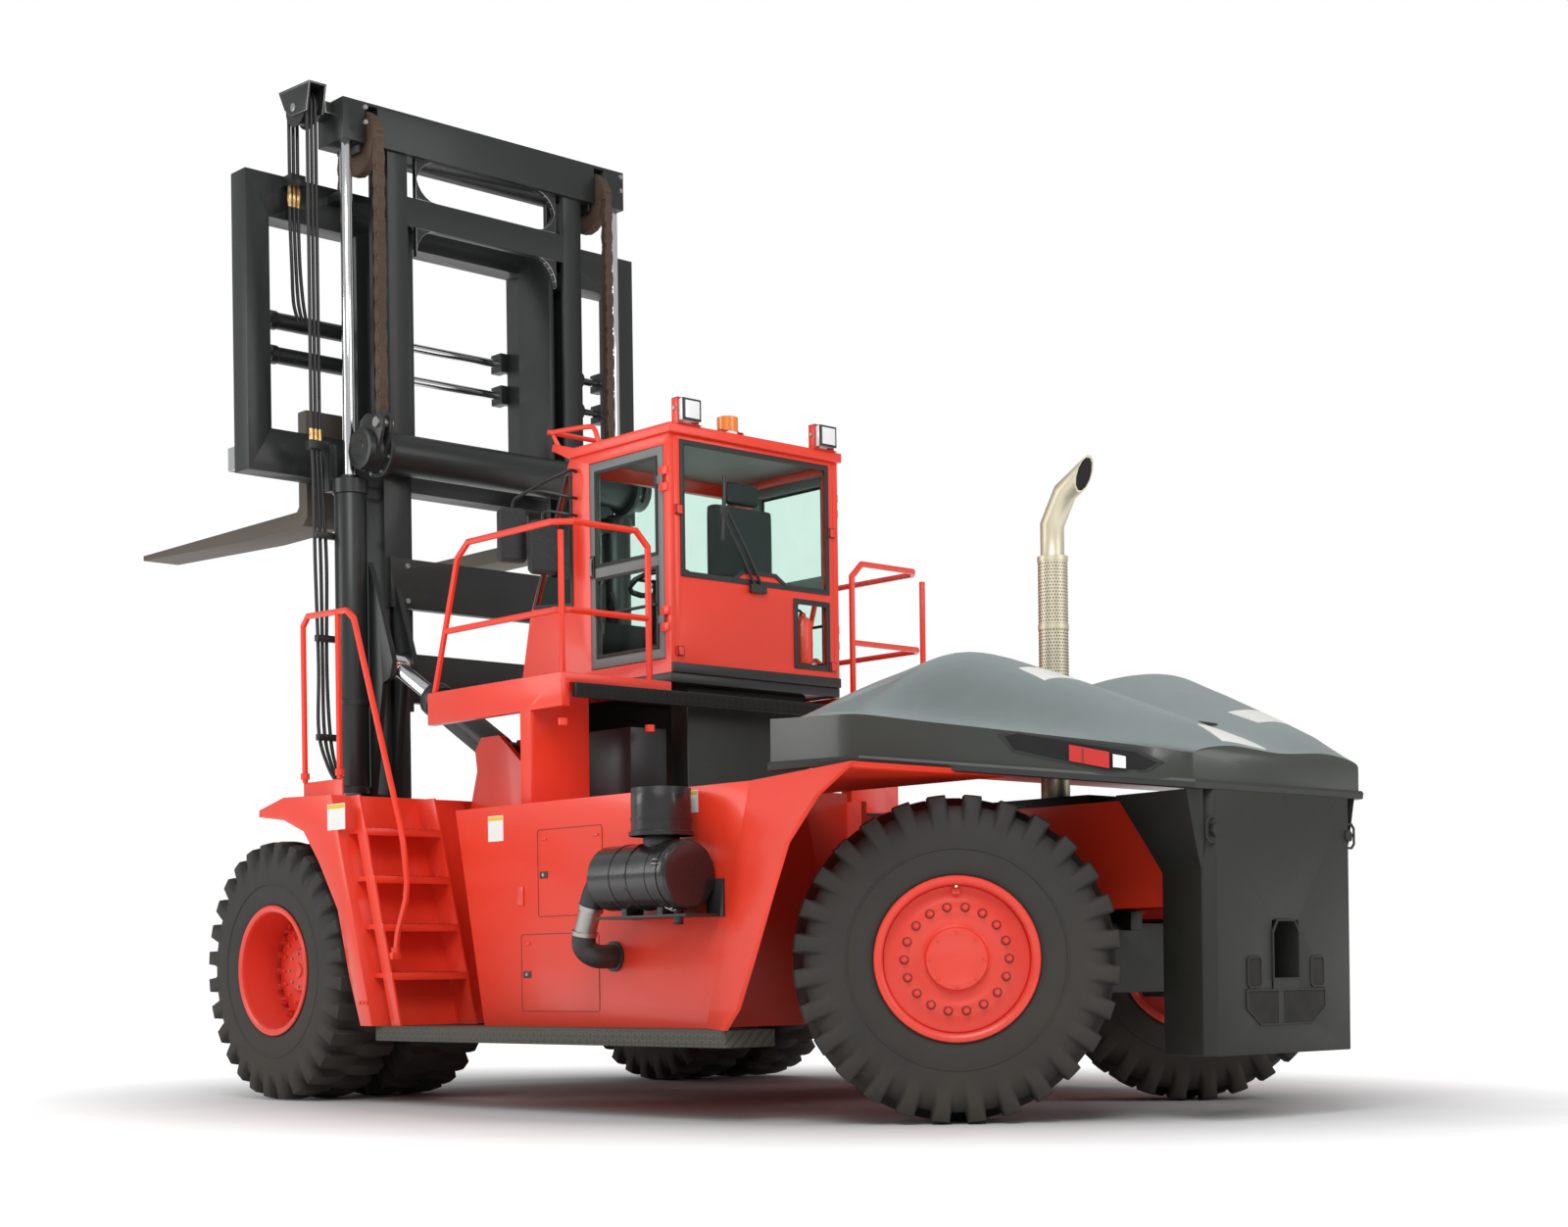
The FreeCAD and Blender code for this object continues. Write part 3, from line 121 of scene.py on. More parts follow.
# ------------------------------------------------------------------ node groups and finishes
class Tree:
    """Short calls for making and joining nodes."""

    def __init__(self, tree: bpy.types.NodeTree) -> None:
        """Keeps the tree.

        Args:
            tree: the node tree that gets the nodes.
        """
        self.tree = tree

    def fill(self, socket: bpy.types.NodeSocket, value: object) -> None:
        """Links an input, or sets it.

        Args:
            socket: the input.
            value: an output to link, or a plain value.
        """
        if isinstance(value, bpy.types.NodeSocket):
            self.tree.links.new(value, socket)
        else:
            socket.default_value = value

    def node(self, kind: str, inputs: dict[str | int, object] | None = None, **values: object) -> bpy.types.Node:
        """Adds a node.

        Args:
            kind: the node's type name.
            inputs: what each input gets, by the input's name or number.
            values: the node's own properties.

        Returns:
            The node.
        """
        made = self.tree.nodes.new(kind)
        for key, value in values.items():
            setattr(made, key, value)
        for key, value in (inputs or {}).items():
            self.fill(made.inputs[key], value)
        return made

    def maths(self, kind: str, first: object, second: object = 0.0, clamp: bool = False) -> bpy.types.NodeSocket:
        """A math node's result.

        Args:
            kind: the operation.
            first: a number or an output.
            second: a number or an output.
            clamp: whether the result is kept from 0 to 1.

        Returns:
            The result.
        """
        return self.node("ShaderNodeMath", {0: first, 1: second}, operation=kind, use_clamp=clamp).outputs[0]

    def split(self, vector: bpy.types.NodeSocket) -> dict[str, bpy.types.NodeSocket]:
        """A vector's X, Y and Z.

        Args:
            vector: the vector.

        Returns:
            The three outputs by name.
        """
        return self.node("ShaderNodeSeparateXYZ", {0: vector}).outputs

    def noise(self, coords: bpy.types.NodeSocket, scale: object, detail: float = 4.0,
              rough: float = 0.55) -> bpy.types.NodeSocket:
        """Noise read at some coordinates.

        Args:
            coords: the coordinates.
            scale: the noise's scale, a number or an output.
            detail: how many finer layers it has.
            rough: how strong the finer layers are.

        Returns:
            The noise, about 0 to 1.
        """
        made = self.node("ShaderNodeTexNoise", {"Detail": detail, "Roughness": rough, "Vector": coords, "Scale": scale})
        return made.outputs["Fac"]

    def spread(self, value: bpy.types.NodeSocket, low: float, high: float, to_low: float,
               to_high: float) -> bpy.types.NodeSocket:
        """Maps one range of a value to another, clamped.

        Args:
            value: the value.
            low: the range's start.
            high: the range's end.
            to_low: what the start becomes.
            to_high: what the end becomes.

        Returns:
            The mapped value.
        """
        made = self.node("ShaderNodeMapRange", {"Value": value, "From Min": low, "From Max": high, "To Min": to_low,
                                                "To Max": to_high})
        return made.outputs["Result"]

    def mix(self, factor: bpy.types.NodeSocket, first: object, second: object) -> bpy.types.NodeSocket:
        """Mixes two colours.

        Args:
            factor: how much of the second there is.
            first: a colour or an output.
            second: a colour or an output.

        Returns:
            The mixed colour.
        """
        made = self.node("ShaderNodeMix", {0: factor, 6: first, 7: second}, data_type="RGBA", blend_type="MIX")
        return made.outputs[2]


def new_material(name: str) -> tuple[bpy.types.Material, Tree, bpy.types.Node]:
    """A material with nodes.

    Args:
        name: its name.

    Returns:
        The material, its tree and its shader.
    """
    made = bpy.data.materials.new(name)
    made.use_nodes = True
    return made, Tree(made.node_tree), made.node_tree.nodes["Principled BSDF"]


def weathered_group() -> None:
    """Mottled colour, uneven gloss, fine grain, dust that settles on what faces up or sits low, and a painted sky
    reflection that lightens what faces up towards the dust colour.
    """
    group = bpy.data.node_groups.new("weathered", "ShaderNodeTree")
    colour, number = "NodeSocketColor", "NodeSocketFloat"
    for label, kind, value in (
            ("Colour", colour, (0.5, 0.5, 0.5, 1)), ("Dust Colour", colour, (0.4, 0.34, 0.27, 1)),
            ("Dust", number, 0.2), ("Low Dust", number, 0.3), ("Mottle", number, 0.1), ("Grain Scale", number, 220.0),
            ("Roughness", number, 0.4), ("Uneven", number, 0.1), ("Painted Sky Sheen", number, 0.0)):
        group.interface.new_socket(name=label, in_out="INPUT", socket_type=kind).default_value = value
    for label, kind in (("Colour", colour), ("Roughness", number), ("Height", number)):
        group.interface.new_socket(name=label, in_out="OUTPUT", socket_type=kind)
    tree = Tree(group)
    given = tree.node("NodeGroupInput").outputs
    end = tree.node("NodeGroupOutput").inputs
    coords = tree.node("ShaderNodeTexCoord").outputs["Object"]
    broad = tree.noise(coords, 1.3, 5.0, 0.6)
    middle = tree.noise(coords, 11.0, 6.0, 0.65)
    grain = tree.noise(coords, given["Grain Scale"], 2.0)
    geometry = tree.node("ShaderNodeNewGeometry").outputs
    normal, place = tree.split(geometry["Normal"]), tree.split(geometry["Position"])
    upward = tree.spread(normal["Z"], 0.35, 0.95, 0.0, 1.0)
    low = tree.spread(place["Z"], 0.2, 1.5, 1.0, 0.0)
    on_top = tree.maths("MULTIPLY", upward, given["Dust"])
    settle = tree.maths("ADD", on_top, tree.maths("MULTIPLY", low, given["Low Dust"]))
    patch = tree.spread(tree.maths("ADD", broad, tree.maths("MULTIPLY", middle, 0.7)), 0.62, 1.08, 0.15, 1.0)
    patchy = tree.maths("MULTIPLY", settle, patch)
    # The sheen input adds a painted sky reflection: what faces up is lightened towards the dust colour, on top of the
    # real dust.
    dust = tree.maths("ADD", patchy, tree.maths("MULTIPLY", upward, given["Painted Sky Sheen"]), True)
    shade = tree.maths("MULTIPLY", tree.maths("SUBTRACT", broad, 0.5), given["Mottle"])
    tone = tree.node("ShaderNodeHueSaturation", {"Color": given["Colour"]})
    tree.fill(tone.inputs["Value"], tree.maths("ADD", shade, 1.0))
    tree.fill(end["Colour"], tree.mix(dust, tone.outputs["Color"], given["Dust Colour"]))
    wave = tree.maths("MULTIPLY", tree.maths("SUBTRACT", middle, 0.5), given["Uneven"])
    base = tree.maths("ADD", given["Roughness"], wave)
    tree.fill(end["Roughness"], tree.maths("ADD", base, tree.maths("MULTIPLY", dust, 0.35), True))
    tree.fill(end["Height"], tree.maths("ADD", grain, tree.maths("MULTIPLY", middle, 1.5)))


@dataclass(frozen=True)
class Finish:
    """A painted, cast, rubber or plated surface.

    Args:
        name: the material's name.
        colour: the clean colour, linear.
        roughness: how dull it is.
        metallic: 1 for bare metal.
        coat: clear coat weight.
        dust: how much dust lies on top.
        low_dust: how much dust clings low down.
        mottle: how far the tone wanders.
        grain: the scale of the fine bumps.
        bump: their depth in metres.
        uneven: how far the gloss wanders.
        dust_colour: the dust's colour, linear; also the colour of the painted sky reflection.
        painted_sky_sheen: how strongly a painted sky reflection lightens what faces up, in the dust colour.
        slot: the record's slot that it stands for; not used.
    """

    name: str
    colour: tuple[float, float, float]
    roughness: float = 0.4
    metallic: float = 0.0
    coat: float = 0.0
    dust: float = 0.12
    low_dust: float = 0.12
    mottle: float = 0.16
    grain: float = 240.0
    bump: float = 0.0004
    uneven: float = 0.14
    dust_colour: tuple[float, float, float] = (0.36, 0.31, 0.25)
    # Painted sky reflection: lightens what faces up towards the dust colour; 0 paints none.
    painted_sky_sheen: float = 0.0
    slot: str = "body_paint"

    def material(self) -> bpy.types.Material:
        """The material, built the first time that it is asked for.

        Returns:
            The material.
        """
        if self.name in bpy.data.materials:
            return bpy.data.materials[self.name]
        made, tree, shader = new_material(self.name)
        for label, value in (("Metallic", self.metallic), ("Coat Weight", self.coat), ("Coat Roughness", 0.12)):
            shader.inputs[label].default_value = value
        group = tree.node("ShaderNodeGroup", node_tree=bpy.data.node_groups["weathered"])
        for label, value in (("Colour", (*self.colour, 1)), ("Dust Colour", (*self.dust_colour, 1)),
                             ("Dust", self.dust), ("Low Dust", self.low_dust), ("Mottle", self.mottle),
                             ("Grain Scale", self.grain), ("Roughness", self.roughness), ("Uneven", self.uneven),
                             ("Painted Sky Sheen", self.painted_sky_sheen)):
            group.inputs[label].default_value = value
        self.pattern(tree, group, shader)
        return made

    def pattern(self, tree: Tree, group: bpy.types.Node, shader: bpy.types.Node) -> None:
        """Joins the weathered group to the shader.

        Args:
            tree: the material's tree.
            group: the weathered group's node.
            shader: the shader.
        """
        bump = tree.node("ShaderNodeBump", {"Strength": 0.55, "Distance": self.bump, "Height": group.outputs["Height"]})
        tree.fill(shader.inputs["Base Color"], group.outputs["Colour"])
        tree.fill(shader.inputs["Roughness"], group.outputs["Roughness"])
        tree.fill(shader.inputs["Normal"], bump.outputs["Normal"])


@dataclass(frozen=True)
class TreadPlate(Finish):
    """A finish with raised diamonds on its faces.

    Args:
        pitch: from one diamond to the next.
        worn: the colour of the diamonds' tops.
    """

    pitch: float = 0.045
    worn: Colour = (0.085, 0.082, 0.062, 1)

    def pattern(self, tree: Tree, group: bpy.types.Node, shader: bpy.types.Node) -> None:
        """Adds two crossed sets of short bars to the grain.

        Args:
            tree: the material's tree.
            group: the weathered group's node.
            shader: the shader.
        """
        super().pattern(tree, group, shader)
        flat = tree.node("ShaderNodeSeparateXYZ")
        tree.fill(flat.inputs[0], tree.node("ShaderNodeTexCoord").outputs["Object"])
        folded = tree.node("ShaderNodeCombineXYZ", {"X": flat.outputs["X"]})
        tree.fill(folded.inputs["Y"], tree.maths("ADD", flat.outputs["Y"], flat.outputs["Z"]))
        heights = []
        for turn, shift in ((45, 0.0), (-45, 0.5)):
            place = tree.node("ShaderNodeMapping", {
                "Rotation": (0, 0, math.radians(turn)), "Scale": (1 / self.pitch,) * 3, "Location": (shift, shift, 0),
                "Vector": folded.outputs[0]})
            cell = tree.split(place.outputs["Vector"])
            bar = []
            for axis, width in (("X", 0.33), ("Y", 0.12)):
                off = tree.maths("ABSOLUTE", tree.maths("SUBTRACT", tree.maths("FRACT", cell[axis]), 0.5))
                bar.append(tree.spread(off, width, width + 0.06, 1.0, 0.0))
            heights.append(tree.maths("MULTIPLY", bar[0], bar[1]))
        total = tree.maths("MAXIMUM", heights[0], heights[1])
        bump = tree.node("ShaderNodeBump", {"Distance": 0.004, "Strength": 1.0, "Height": total})
        tree.fill(shader.inputs["Normal"], bump.outputs["Normal"])
        tree.fill(shader.inputs["Base Color"], tree.mix(total, group.outputs["Colour"], self.worn))


@dataclass(frozen=True)
class Glass:
    """Thin tinted window glass with a little dirt on it.

    Args:
        name: the material's name.
        colour: the clean tint, linear.
        dirty: the tint where it is dirty.
        ior: how far it bends light, kept low as the panes are solid.
    """

    name: str = "tinted_glass"
    colour: Colour = (0.80, 0.93, 0.88, 1)
    dirty: Colour = (0.72, 0.84, 0.80, 1)
    ior: float = 1.05

    def material(self) -> bpy.types.Material:
        """The material, built the first time that it is asked for.

        Returns:
            The material.
        """
        if self.name in bpy.data.materials:
            return bpy.data.materials[self.name]
        made, tree, shader = new_material(self.name)
        for label, value in (("Metallic", 0.0), ("Transmission Weight", 1.0), ("IOR", self.ior)):
            shader.inputs[label].default_value = value
        smear = tree.noise(tree.node("ShaderNodeTexCoord").outputs["Object"], 6.0, 6.0, 0.7)
        tree.fill(shader.inputs["Roughness"], tree.spread(smear, 0.45, 0.75, 0.0, 0.12))
        tint = tree.mix(tree.spread(smear, 0.4, 0.8, 0.0, 0.35), self.colour, self.dirty)
        tree.fill(shader.inputs["Base Color"], tint)
        return made


RED = Finish("red_paint", (0.83, 0.045, 0.018), 0.34, coat=0.25, dust=0.08, low_dust=0.05, mottle=0.10)
DEEP_RED = Finish("wheel_red", (0.78, 0.042, 0.020), 0.38, coat=0.15, dust=0.10, low_dust=0.10, slot="wheel_paint")
MAST = Finish("mast_charcoal", (0.0125, 0.0150, 0.0145), 0.40, coat=0.10, dust=0.06, low_dust=0.05, mottle=0.35,
              slot="mast_paint")
# The hood's bluish-grey dust colour and its sheen paint a sky reflection that makes its top lighter; its dust patches
# share that colour.
HOOD = Finish("hood_green_grey", (0.030, 0.034, 0.028), 0.30, coat=0.35, dust=0.16, low_dust=0.0, mottle=0.15,
              uneven=0.06, dust_colour=(0.26, 0.315, 0.315), painted_sky_sheen=0.82, slot="hood_paint")
CAST = Finish("cast_olive_black", (0.0080, 0.0090, 0.0062), 0.5, grain=120.0, bump=0.0011, dust=0.05, low_dust=0.04,
              slot="cast_dark")
BLACK = Finish("black_enamel", (0.016, 0.016, 0.017), 0.36, dust=0.08, slot="black_plastic")
PLASTIC = Finish("moulded_black", (0.022, 0.022, 0.023), 0.5, grain=500.0, dust=0.10, slot="black_plastic")
RUBBER = Finish("tyre_rubber", (0.024, 0.0225, 0.020), 0.72, grain=90.0, bump=0.0012, dust=0.30, low_dust=0.34,
                mottle=0.45, uneven=0.2, dust_colour=(0.100, 0.080, 0.058), slot="tyre")
HOSE = Finish("hose_rubber", (0.018, 0.018, 0.018), 0.45, slot="rubber")
CHROME = Finish("chromed_rod", (0.78, 0.79, 0.80), 0.12, metallic=1.0, dust=0.02, low_dust=0.0, mottle=0.05,
                bump=0.00005, slot="chrome")
STEEL = Finish("bare_steel", (0.42, 0.41, 0.39), 0.38, metallic=1.0, dust=0.1, slot="chrome")
BRASS = Finish("brass_fitting", (0.75, 0.52, 0.24), 0.32, metallic=1.0, slot="chrome")
CHAIN = Finish("chain_brown", (0.095, 0.062, 0.042), 0.62, metallic=0.35, dust=0.25, mottle=0.9, grain=60.0, bump=0.001,
               dust_colour=(0.16, 0.10, 0.065), slot="chain_steel")
STAINLESS = Finish("champagne_stainless", (0.66, 0.60, 0.45), 0.42, metallic=0.7, dust=0.04, mottle=0.2,
                   slot="stainless")
# Near-black for real soot in the exhaust outlet and for painted shade in holes and recesses.
SOOT_AND_SHADE = Finish("soot_and_painted_shade", (0.008, 0.008, 0.008), 0.9, slot="black_plastic")
GREY = Finish("door_grey", (0.17, 0.185, 0.18), 0.42, slot="black_plastic")
LINING = Finish("roof_lining", (0.36, 0.39, 0.38), 0.6, mottle=0.1, slot="fabric")
HOOK = Finish("hook_grey", (0.27, 0.275, 0.27), 0.48, mottle=0.3, slot="mast_paint")
FORK = Finish("fork_steel", (0.040, 0.040, 0.038), 0.55, metallic=0.2, dust=0.2, mottle=0.8, bump=0.0010, grain=70.0,
              dust_colour=(0.12, 0.085, 0.06), slot="fork_steel")
CLOTH = Finish("seat_cloth", (0.024, 0.025, 0.027), 0.85, grain=900.0, bump=0.0008, slot="fabric")
LABEL = Finish("blank_label", (0.82, 0.82, 0.79), 0.4, dust=0.05, low_dust=0.0, mottle=0.05, slot="body_paint")
LENS_WHITE = Finish("lamp_clear", (0.86, 0.87, 0.88), 0.15, coat=0.8, mottle=0.1, slot="lamp_lens")
LENS_RED = Finish("lamp_red", (0.55, 0.02, 0.015), 0.2, coat=0.8, slot="lamp_lens")
LENS_AMBER = Finish("lamp_amber", (0.85, 0.24, 0.02), 0.2, coat=0.8, slot="lamp_lens")
YELLOW = Finish("label_yellow", (0.75, 0.52, 0.03), 0.4, dust=0.05, low_dust=0.0, slot="body_paint")
DARK_RED = Finish("tread_dark_red", (0.22, 0.02, 0.012), 0.5, dust=0.3, slot="body_paint")
GLOSS = Finish("cleaner_black", (0.012, 0.012, 0.013), 0.28, coat=0.4, dust=0.06, low_dust=0.04, slot="black_plastic")
LIP = Finish("hood_lip", (0.014, 0.016, 0.015), 0.42, dust=0.08, low_dust=0.0, slot="hood_paint")
BOARD = TreadPlate("tread_plate", (0.042, 0.041, 0.030), 0.5, dust=0.12, low_dust=0.08, slot="cast_dark")
GLASS = Glass()


def put(mesh: bpy.types.Mesh, finishes: Sequence[Finish], body: str | None, smooth: float | None) -> bpy.types.Object:
    """Puts a finished mesh in the scene under its own name.

    Args:
        mesh: the mesh, already in place.
        finishes: its finishes, in the order of its faces' numbers.
        body: the body that it rides on, or None.
        smooth: edges flatter than this many degrees are shaded round; None shades every face flat.

    Returns:
        The piece.
    """
    for finish in finishes:
        mesh.materials.append(finish.material())
    obj = bpy.data.objects.new(mesh.name, mesh)
    bpy.context.scene.collection.objects.link(obj)
    if smooth is not None:
        mesh.shade_smooth()
        mesh.set_sharp_from_angle(angle=math.radians(smooth))
    if body is not None:
        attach(obj, body)
    log.info("%s: %d faces on %s", mesh.name, len(mesh.polygons), body or "two bodies")
    return obj


def angles(count: int) -> list[float]:
    """Equal steps round a circle.

    Args:
        count: how many.

    Returns:
        The angles in radians, from 0.
    """
    return [2 * math.pi * i / count for i in range(count)]


def about(way: Point, sides: int) -> tuple[Vector, list[Vector]]:
    """An axis and the spokes round it.

    Args:
        way: the axis's direction.
        sides: how many spokes there are.

    Returns:
        The axis and the spokes, all of length 1.
    """
    axis = Vector(way).normalized()
    across = axis.orthogonal().normalized()
    other = axis.cross(across)
    return axis, [across * math.cos(a) + other * math.sin(a) for a in angles(sides)]


def facing(points: Sequence[Point], side: int) -> list[Point]:
    """Turns an outline round where it is mirrored, so that a sweep keeps its section outside.

    Args:
        points: the outline.
        side: 1 for the left, -1 for the right.

    Returns:
        The outline in the order that suits the side.
    """
    return list(points if side < 0 else points[::-1])


class Shape:
    """A mesh put together from simple runs of faces, each with its own finish."""

    def __init__(self) -> None:
        """Starts empty."""
        self.bm = bmesh.new()
        self.finishes: list[Finish] = []

    def paint(self, faces: Iterable[bmesh.types.BMFace], finish: Finish) -> None:
        """Gives faces a finish.

        Args:
            faces: the faces.
            finish: their finish.
        """
        if finish not in self.finishes:
            self.finishes.append(finish)
        number = self.finishes.index(finish)
        for face in faces:
            face.material_index = number

    def soften(self, faces: Iterable[bmesh.types.BMFace], width: float) -> None:
        """Eases every edge of some faces.

        Args:
            faces: the faces.
            width: how wide the eased edge is.
        """
        edges = list(dict.fromkeys(e for f in faces for e in f.edges))
        bmesh.ops.bevel(self.bm, geom=edges, offset=width, segments=2, profile=0.6, affect="EDGES")

    def rings(self, rings: Sequence[Sequence[Point]], finish: Finish, close: bool = False) -> None:
        """Joins rings of points into a skin, with caps at open ends.

        Args:
            rings: rings with the same number of points.
            finish: the skin's finish.
            close: whether the last ring meets the first.
        """
        made = [[self.bm.verts.new(p) for p in ring] for ring in rings]
        pairs = list(zip(made, made[1:])) + ([(made[-1], made[0])] if close else [])
        faces = []
        for first, second in pairs:
            for i, corner in enumerate(first):
                k = (i + 1) % len(first)
                faces.append(self.bm.faces.new((corner, first[k], second[k], second[i])))
        if not close:
            faces += [self.bm.faces.new(made[0]), self.bm.faces.new(made[-1])]
        self.paint(faces, finish)
        bmesh.ops.recalc_face_normals(self.bm, faces=faces)

    def lathe(self, start: Point, way: Point, profile: Outline, finish: Finish, sides: int = 48) -> None:
        """A turned form about a line.

        Args:
            start: where the line starts.
            way: the line's direction.
            profile: distance along the line and radius, closed at both ends by caps.
            finish: its finish.
            sides: how many faces go round.
        """
        axis, spokes = about(way, sides)
        rings = [[Vector(start) + axis * along + out * radius for out in spokes] for along, radius in profile]
        self.rings(rings, finish)

    def turned(self, start: Point, way: Point, loop: Outline, finish: Finish, sides: int = 48) -> None:
        """A ring turned about a line.

        Args:
            start: where the line starts.
            way: the line's direction.
            loop: a closed outline of distances along the line and radii.
            finish: its finish.
            sides: how many sections go round.
        """
        axis, spokes = about(way, sides)
        rings = [[Vector(start) + axis * along + out * radius for along, radius in loop] for out in spokes]
        self.rings(rings, finish, close=True)

    def band(self, start: Point, way: Point, span: tuple[float, float], radii: tuple[float, float], finish: Finish,
             sides: int = 48) -> None:
        """A plain band about a line.

        Args:
            start: where the line starts.
            way: the line's direction.
            span: the distances along the line that it runs between.
            radii: its inside and outside radius.
            finish: its finish.
            sides: how many sections go round.
        """
        (low, high), (inner, outer) = span, radii
        self.turned(start, way, [(low, inner), (low, outer), (high, outer), (high, inner)], finish, sides)

    def block(self, low: Point, high: Point, finish: Finish, ease: float = 0.004) -> None:
        """A block with eased edges.

        Args:
            low: one corner.
            high: the corner across from it.
            finish: its finish.
            ease: how wide the eased edges are.
        """
        spans = [sorted(pair) for pair in zip(low, high)]
        made = bmesh.ops.create_cube(self.bm, size=1.0)
        for v in made["verts"]:
            v.co = Vector([a + (c + 0.5) * (b - a) for c, (a, b) in zip(v.co, spans)])
        faces = list(dict.fromkeys(f for v in made["verts"] for f in v.link_faces))
        self.paint(faces, finish)
        self.soften(faces, min(ease, 0.3 * min(b - a for a, b in spans)))

    def blocks(self, finish: Finish, ease: float, *corners: Sequence[float]) -> None:
        """Blocks given by their corners in millimetres.

        Args:
            finish: their finish.
            ease: how wide their eased edges are.
            corners: x, y and z of one corner, then of the corner across from it.
        """
        for numbers in corners:
            self.block(mm(*numbers[:3]), mm(*numbers[3:]), finish, ease)

    def slab(self, outline: Sequence[Point], push: Point, finish: Finish, ease: float = 0.0) -> None:
        """A plate: an outline of points given thickness by a push.

        Args:
            outline: the plate's corners.
            push: from one side of the plate to the other.
            finish: its finish.
            ease: how wide its eased edges are.
        """
        first = [self.bm.verts.new(p) for p in outline]
        second = [self.bm.verts.new(Vector(p) + Vector(push)) for p in outline]
        faces = [self.bm.faces.new(first), self.bm.faces.new(second[::-1])]
        for i, corner in enumerate(first):
            k = (i + 1) % len(first)
            faces.append(self.bm.faces.new((first[k], corner, second[i], second[k])))
        bmesh.ops.recalc_face_normals(self.bm, faces=faces)
        self.paint(faces, finish)
        if ease:
            self.soften(faces, ease)

    def tube(self, points: Sequence[Point], radius: float, finish: Finish, sides: int = 12) -> None:
        """A tube along a smooth line through some points.

        Args:
            points: the points.
            radius: the tube's radius.
            finish: its finish.
            sides: how many faces go round.
        """
        path = smooth_path([Vector(p) for p in points])
        rings = []
        normal = (path[1] - path[0]).orthogonal().normalized()
        for i, p in enumerate(path):
            ahead = (path[min(i + 1, len(path) - 1)] - path[max(i - 1, 0)]).normalized()
            normal = (normal - ahead * normal.dot(ahead)).normalized()
            other = ahead.cross(normal)
            rings.append([p + (normal * math.cos(a) + other * math.sin(a)) * radius for a in angles(sides)])
        self.rings(rings, finish)

    def sweep(self, points: Sequence[Point], section: Outline, up: Point, finish: Finish, close: bool = False) -> None:
        """Carries a section along straight runs, mitred at each corner.

        Args:
            points: the line's corners.
            section: the section as distances across and up.
            up: the direction that the section's second number goes in.
            finish: its finish.
            close: whether the line ends where it starts.
        """
        path = [Vector(p) for p in points]
        lift = Vector(up).normalized()
        rings = []
        for i, p in enumerate(path):
            back = path[i - 1] if close or i else None
            ahead = path[(i + 1) % len(path)] if close or i + 1 < len(path) else None
            before = (p - back).normalized() if back is not None else (ahead - p).normalized()
            after = (ahead - p).normalized() if ahead is not None else before
            across = before.cross(lift).normalized()
            side = (across + after.cross(lift).normalized()).normalized()
            stretch = 1 / max(LEAST_MITRE, side.dot(across))
            rings.append([p + side * (a * stretch) + lift * b for a, b in section])
        self.rings(rings, finish, close=close)

    def add(self, mesh: bpy.types.Mesh, finish: Finish, place: Matrix) -> None:
        """Adds a ready mesh.

        Args:
            mesh: the mesh.
            finish: its finish.
            place: where it goes.
        """
        before = len(self.bm.faces)
        mesh.transform(place)
        if place.determinant() < 0:
            mesh.flip_normals()
        self.bm.from_mesh(mesh)
        bpy.data.meshes.remove(mesh)
        self.bm.faces.ensure_lookup_table()
        self.paint(self.bm.faces[before:], finish)

    def place(self, name: str, body: str | None, smooth: float | None = 30.0) -> bpy.types.Object:
        """Makes the piece and puts it in the scene.

        Args:
            name: the piece's name.
            body: the body that it rides on, or None for a piece blended between two.
            smooth: edges flatter than this many degrees are shaded round; None shades every face flat.

        Returns:
            The piece.
        """
        mesh = bpy.data.meshes.new(name)
        self.bm.to_mesh(mesh)
        self.bm.free()
        return put(mesh, self.finishes, body, smooth)


def smooth_path(points: Sequence[Vector], steps: int = 8) -> list[Vector]:
    """Points along a smooth line that passes through the given ones.

    Args:
        points: the given points.
        steps: how many steps lie between two of them.

    Returns:
        The finer line; two points stay as they are.
    """
    if len(points) == 2:
        return list(points)
    path = []
    last = len(points) - 1
    for i in range(last):
        a, b, c, d = points[max(i - 1, 0)], points[i], points[i + 1], points[min(i + 2, last)]
        for t in (k / steps for k in range(steps)):
            square = (2 * a - 5 * b + 4 * c - d) * t * t
            path.append(0.5 * ((2 * b) + (c - a) * t + square + (3 * b - a - 3 * c + d) * t ** 3))
    return path + [points[-1]]


@dataclass
class EasedNode:
    """A carried-over solid whose edges are eased and whose flat faces stay flat.

    Args:
        node: the CAD node.
        finish: its finish.
        width: how wide the eased edge is.
        zones: boxes in millimetres whose faces take another finish.
    """

    node: str
    finish: Finish
    width: float
    zones: Sequence[tuple[Point, Point, Finish]] = ()

    def build(self) -> None:
        """Makes the piece, which stands for the node."""
        source = frame["nodes"][self.node]
        bm = bmesh.new()
        bm.from_mesh(source.data)
        bmesh.ops.remove_doubles(bm, verts=bm.verts, dist=WELD)
        bmesh.ops.dissolve_limit(bm, angle_limit=math.radians(FLAT), verts=bm.verts, edges=bm.edges)
        bmesh.ops.connect_verts_concave(bm, faces=bm.faces)
        finishes = [self.finish]
        for face in bm.faces:
            face.material_index = 0
            centre = face.calc_center_median()
            for low, high, finish in self.zones:
                if all(a <= c <= b for a, c, b in zip(mm(*low), centre, mm(*high))):
                    if finish not in finishes:
                        finishes.append(finish)
                    face.material_index = finishes.index(finish)
        name = self.node + "_eased"
        mesh = bpy.data.meshes.new(name)
        bm.to_mesh(mesh)
        bm.free()
        mesh.materials.clear()
        for finish in finishes:
            mesh.materials.append(finish.material())
        obj = bpy.data.objects.new("work", mesh)
        bpy.context.scene.collection.objects.link(obj)
        ease = obj.modifiers.new("ease", "BEVEL")
        for label, value in (("width", self.width), ("segments", 2), ("limit_method", "ANGLE"),
                             ("angle_limit", math.radians(CORNER)), ("use_clamp_overlap", True),
                             ("miter_outer", "MITER_ARC")):
            setattr(ease, label, value)
        ready = baked(obj, name)
        ready.materials.clear()
        made = put(ready, finishes, source["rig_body"], 32)
        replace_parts(made, self.node)


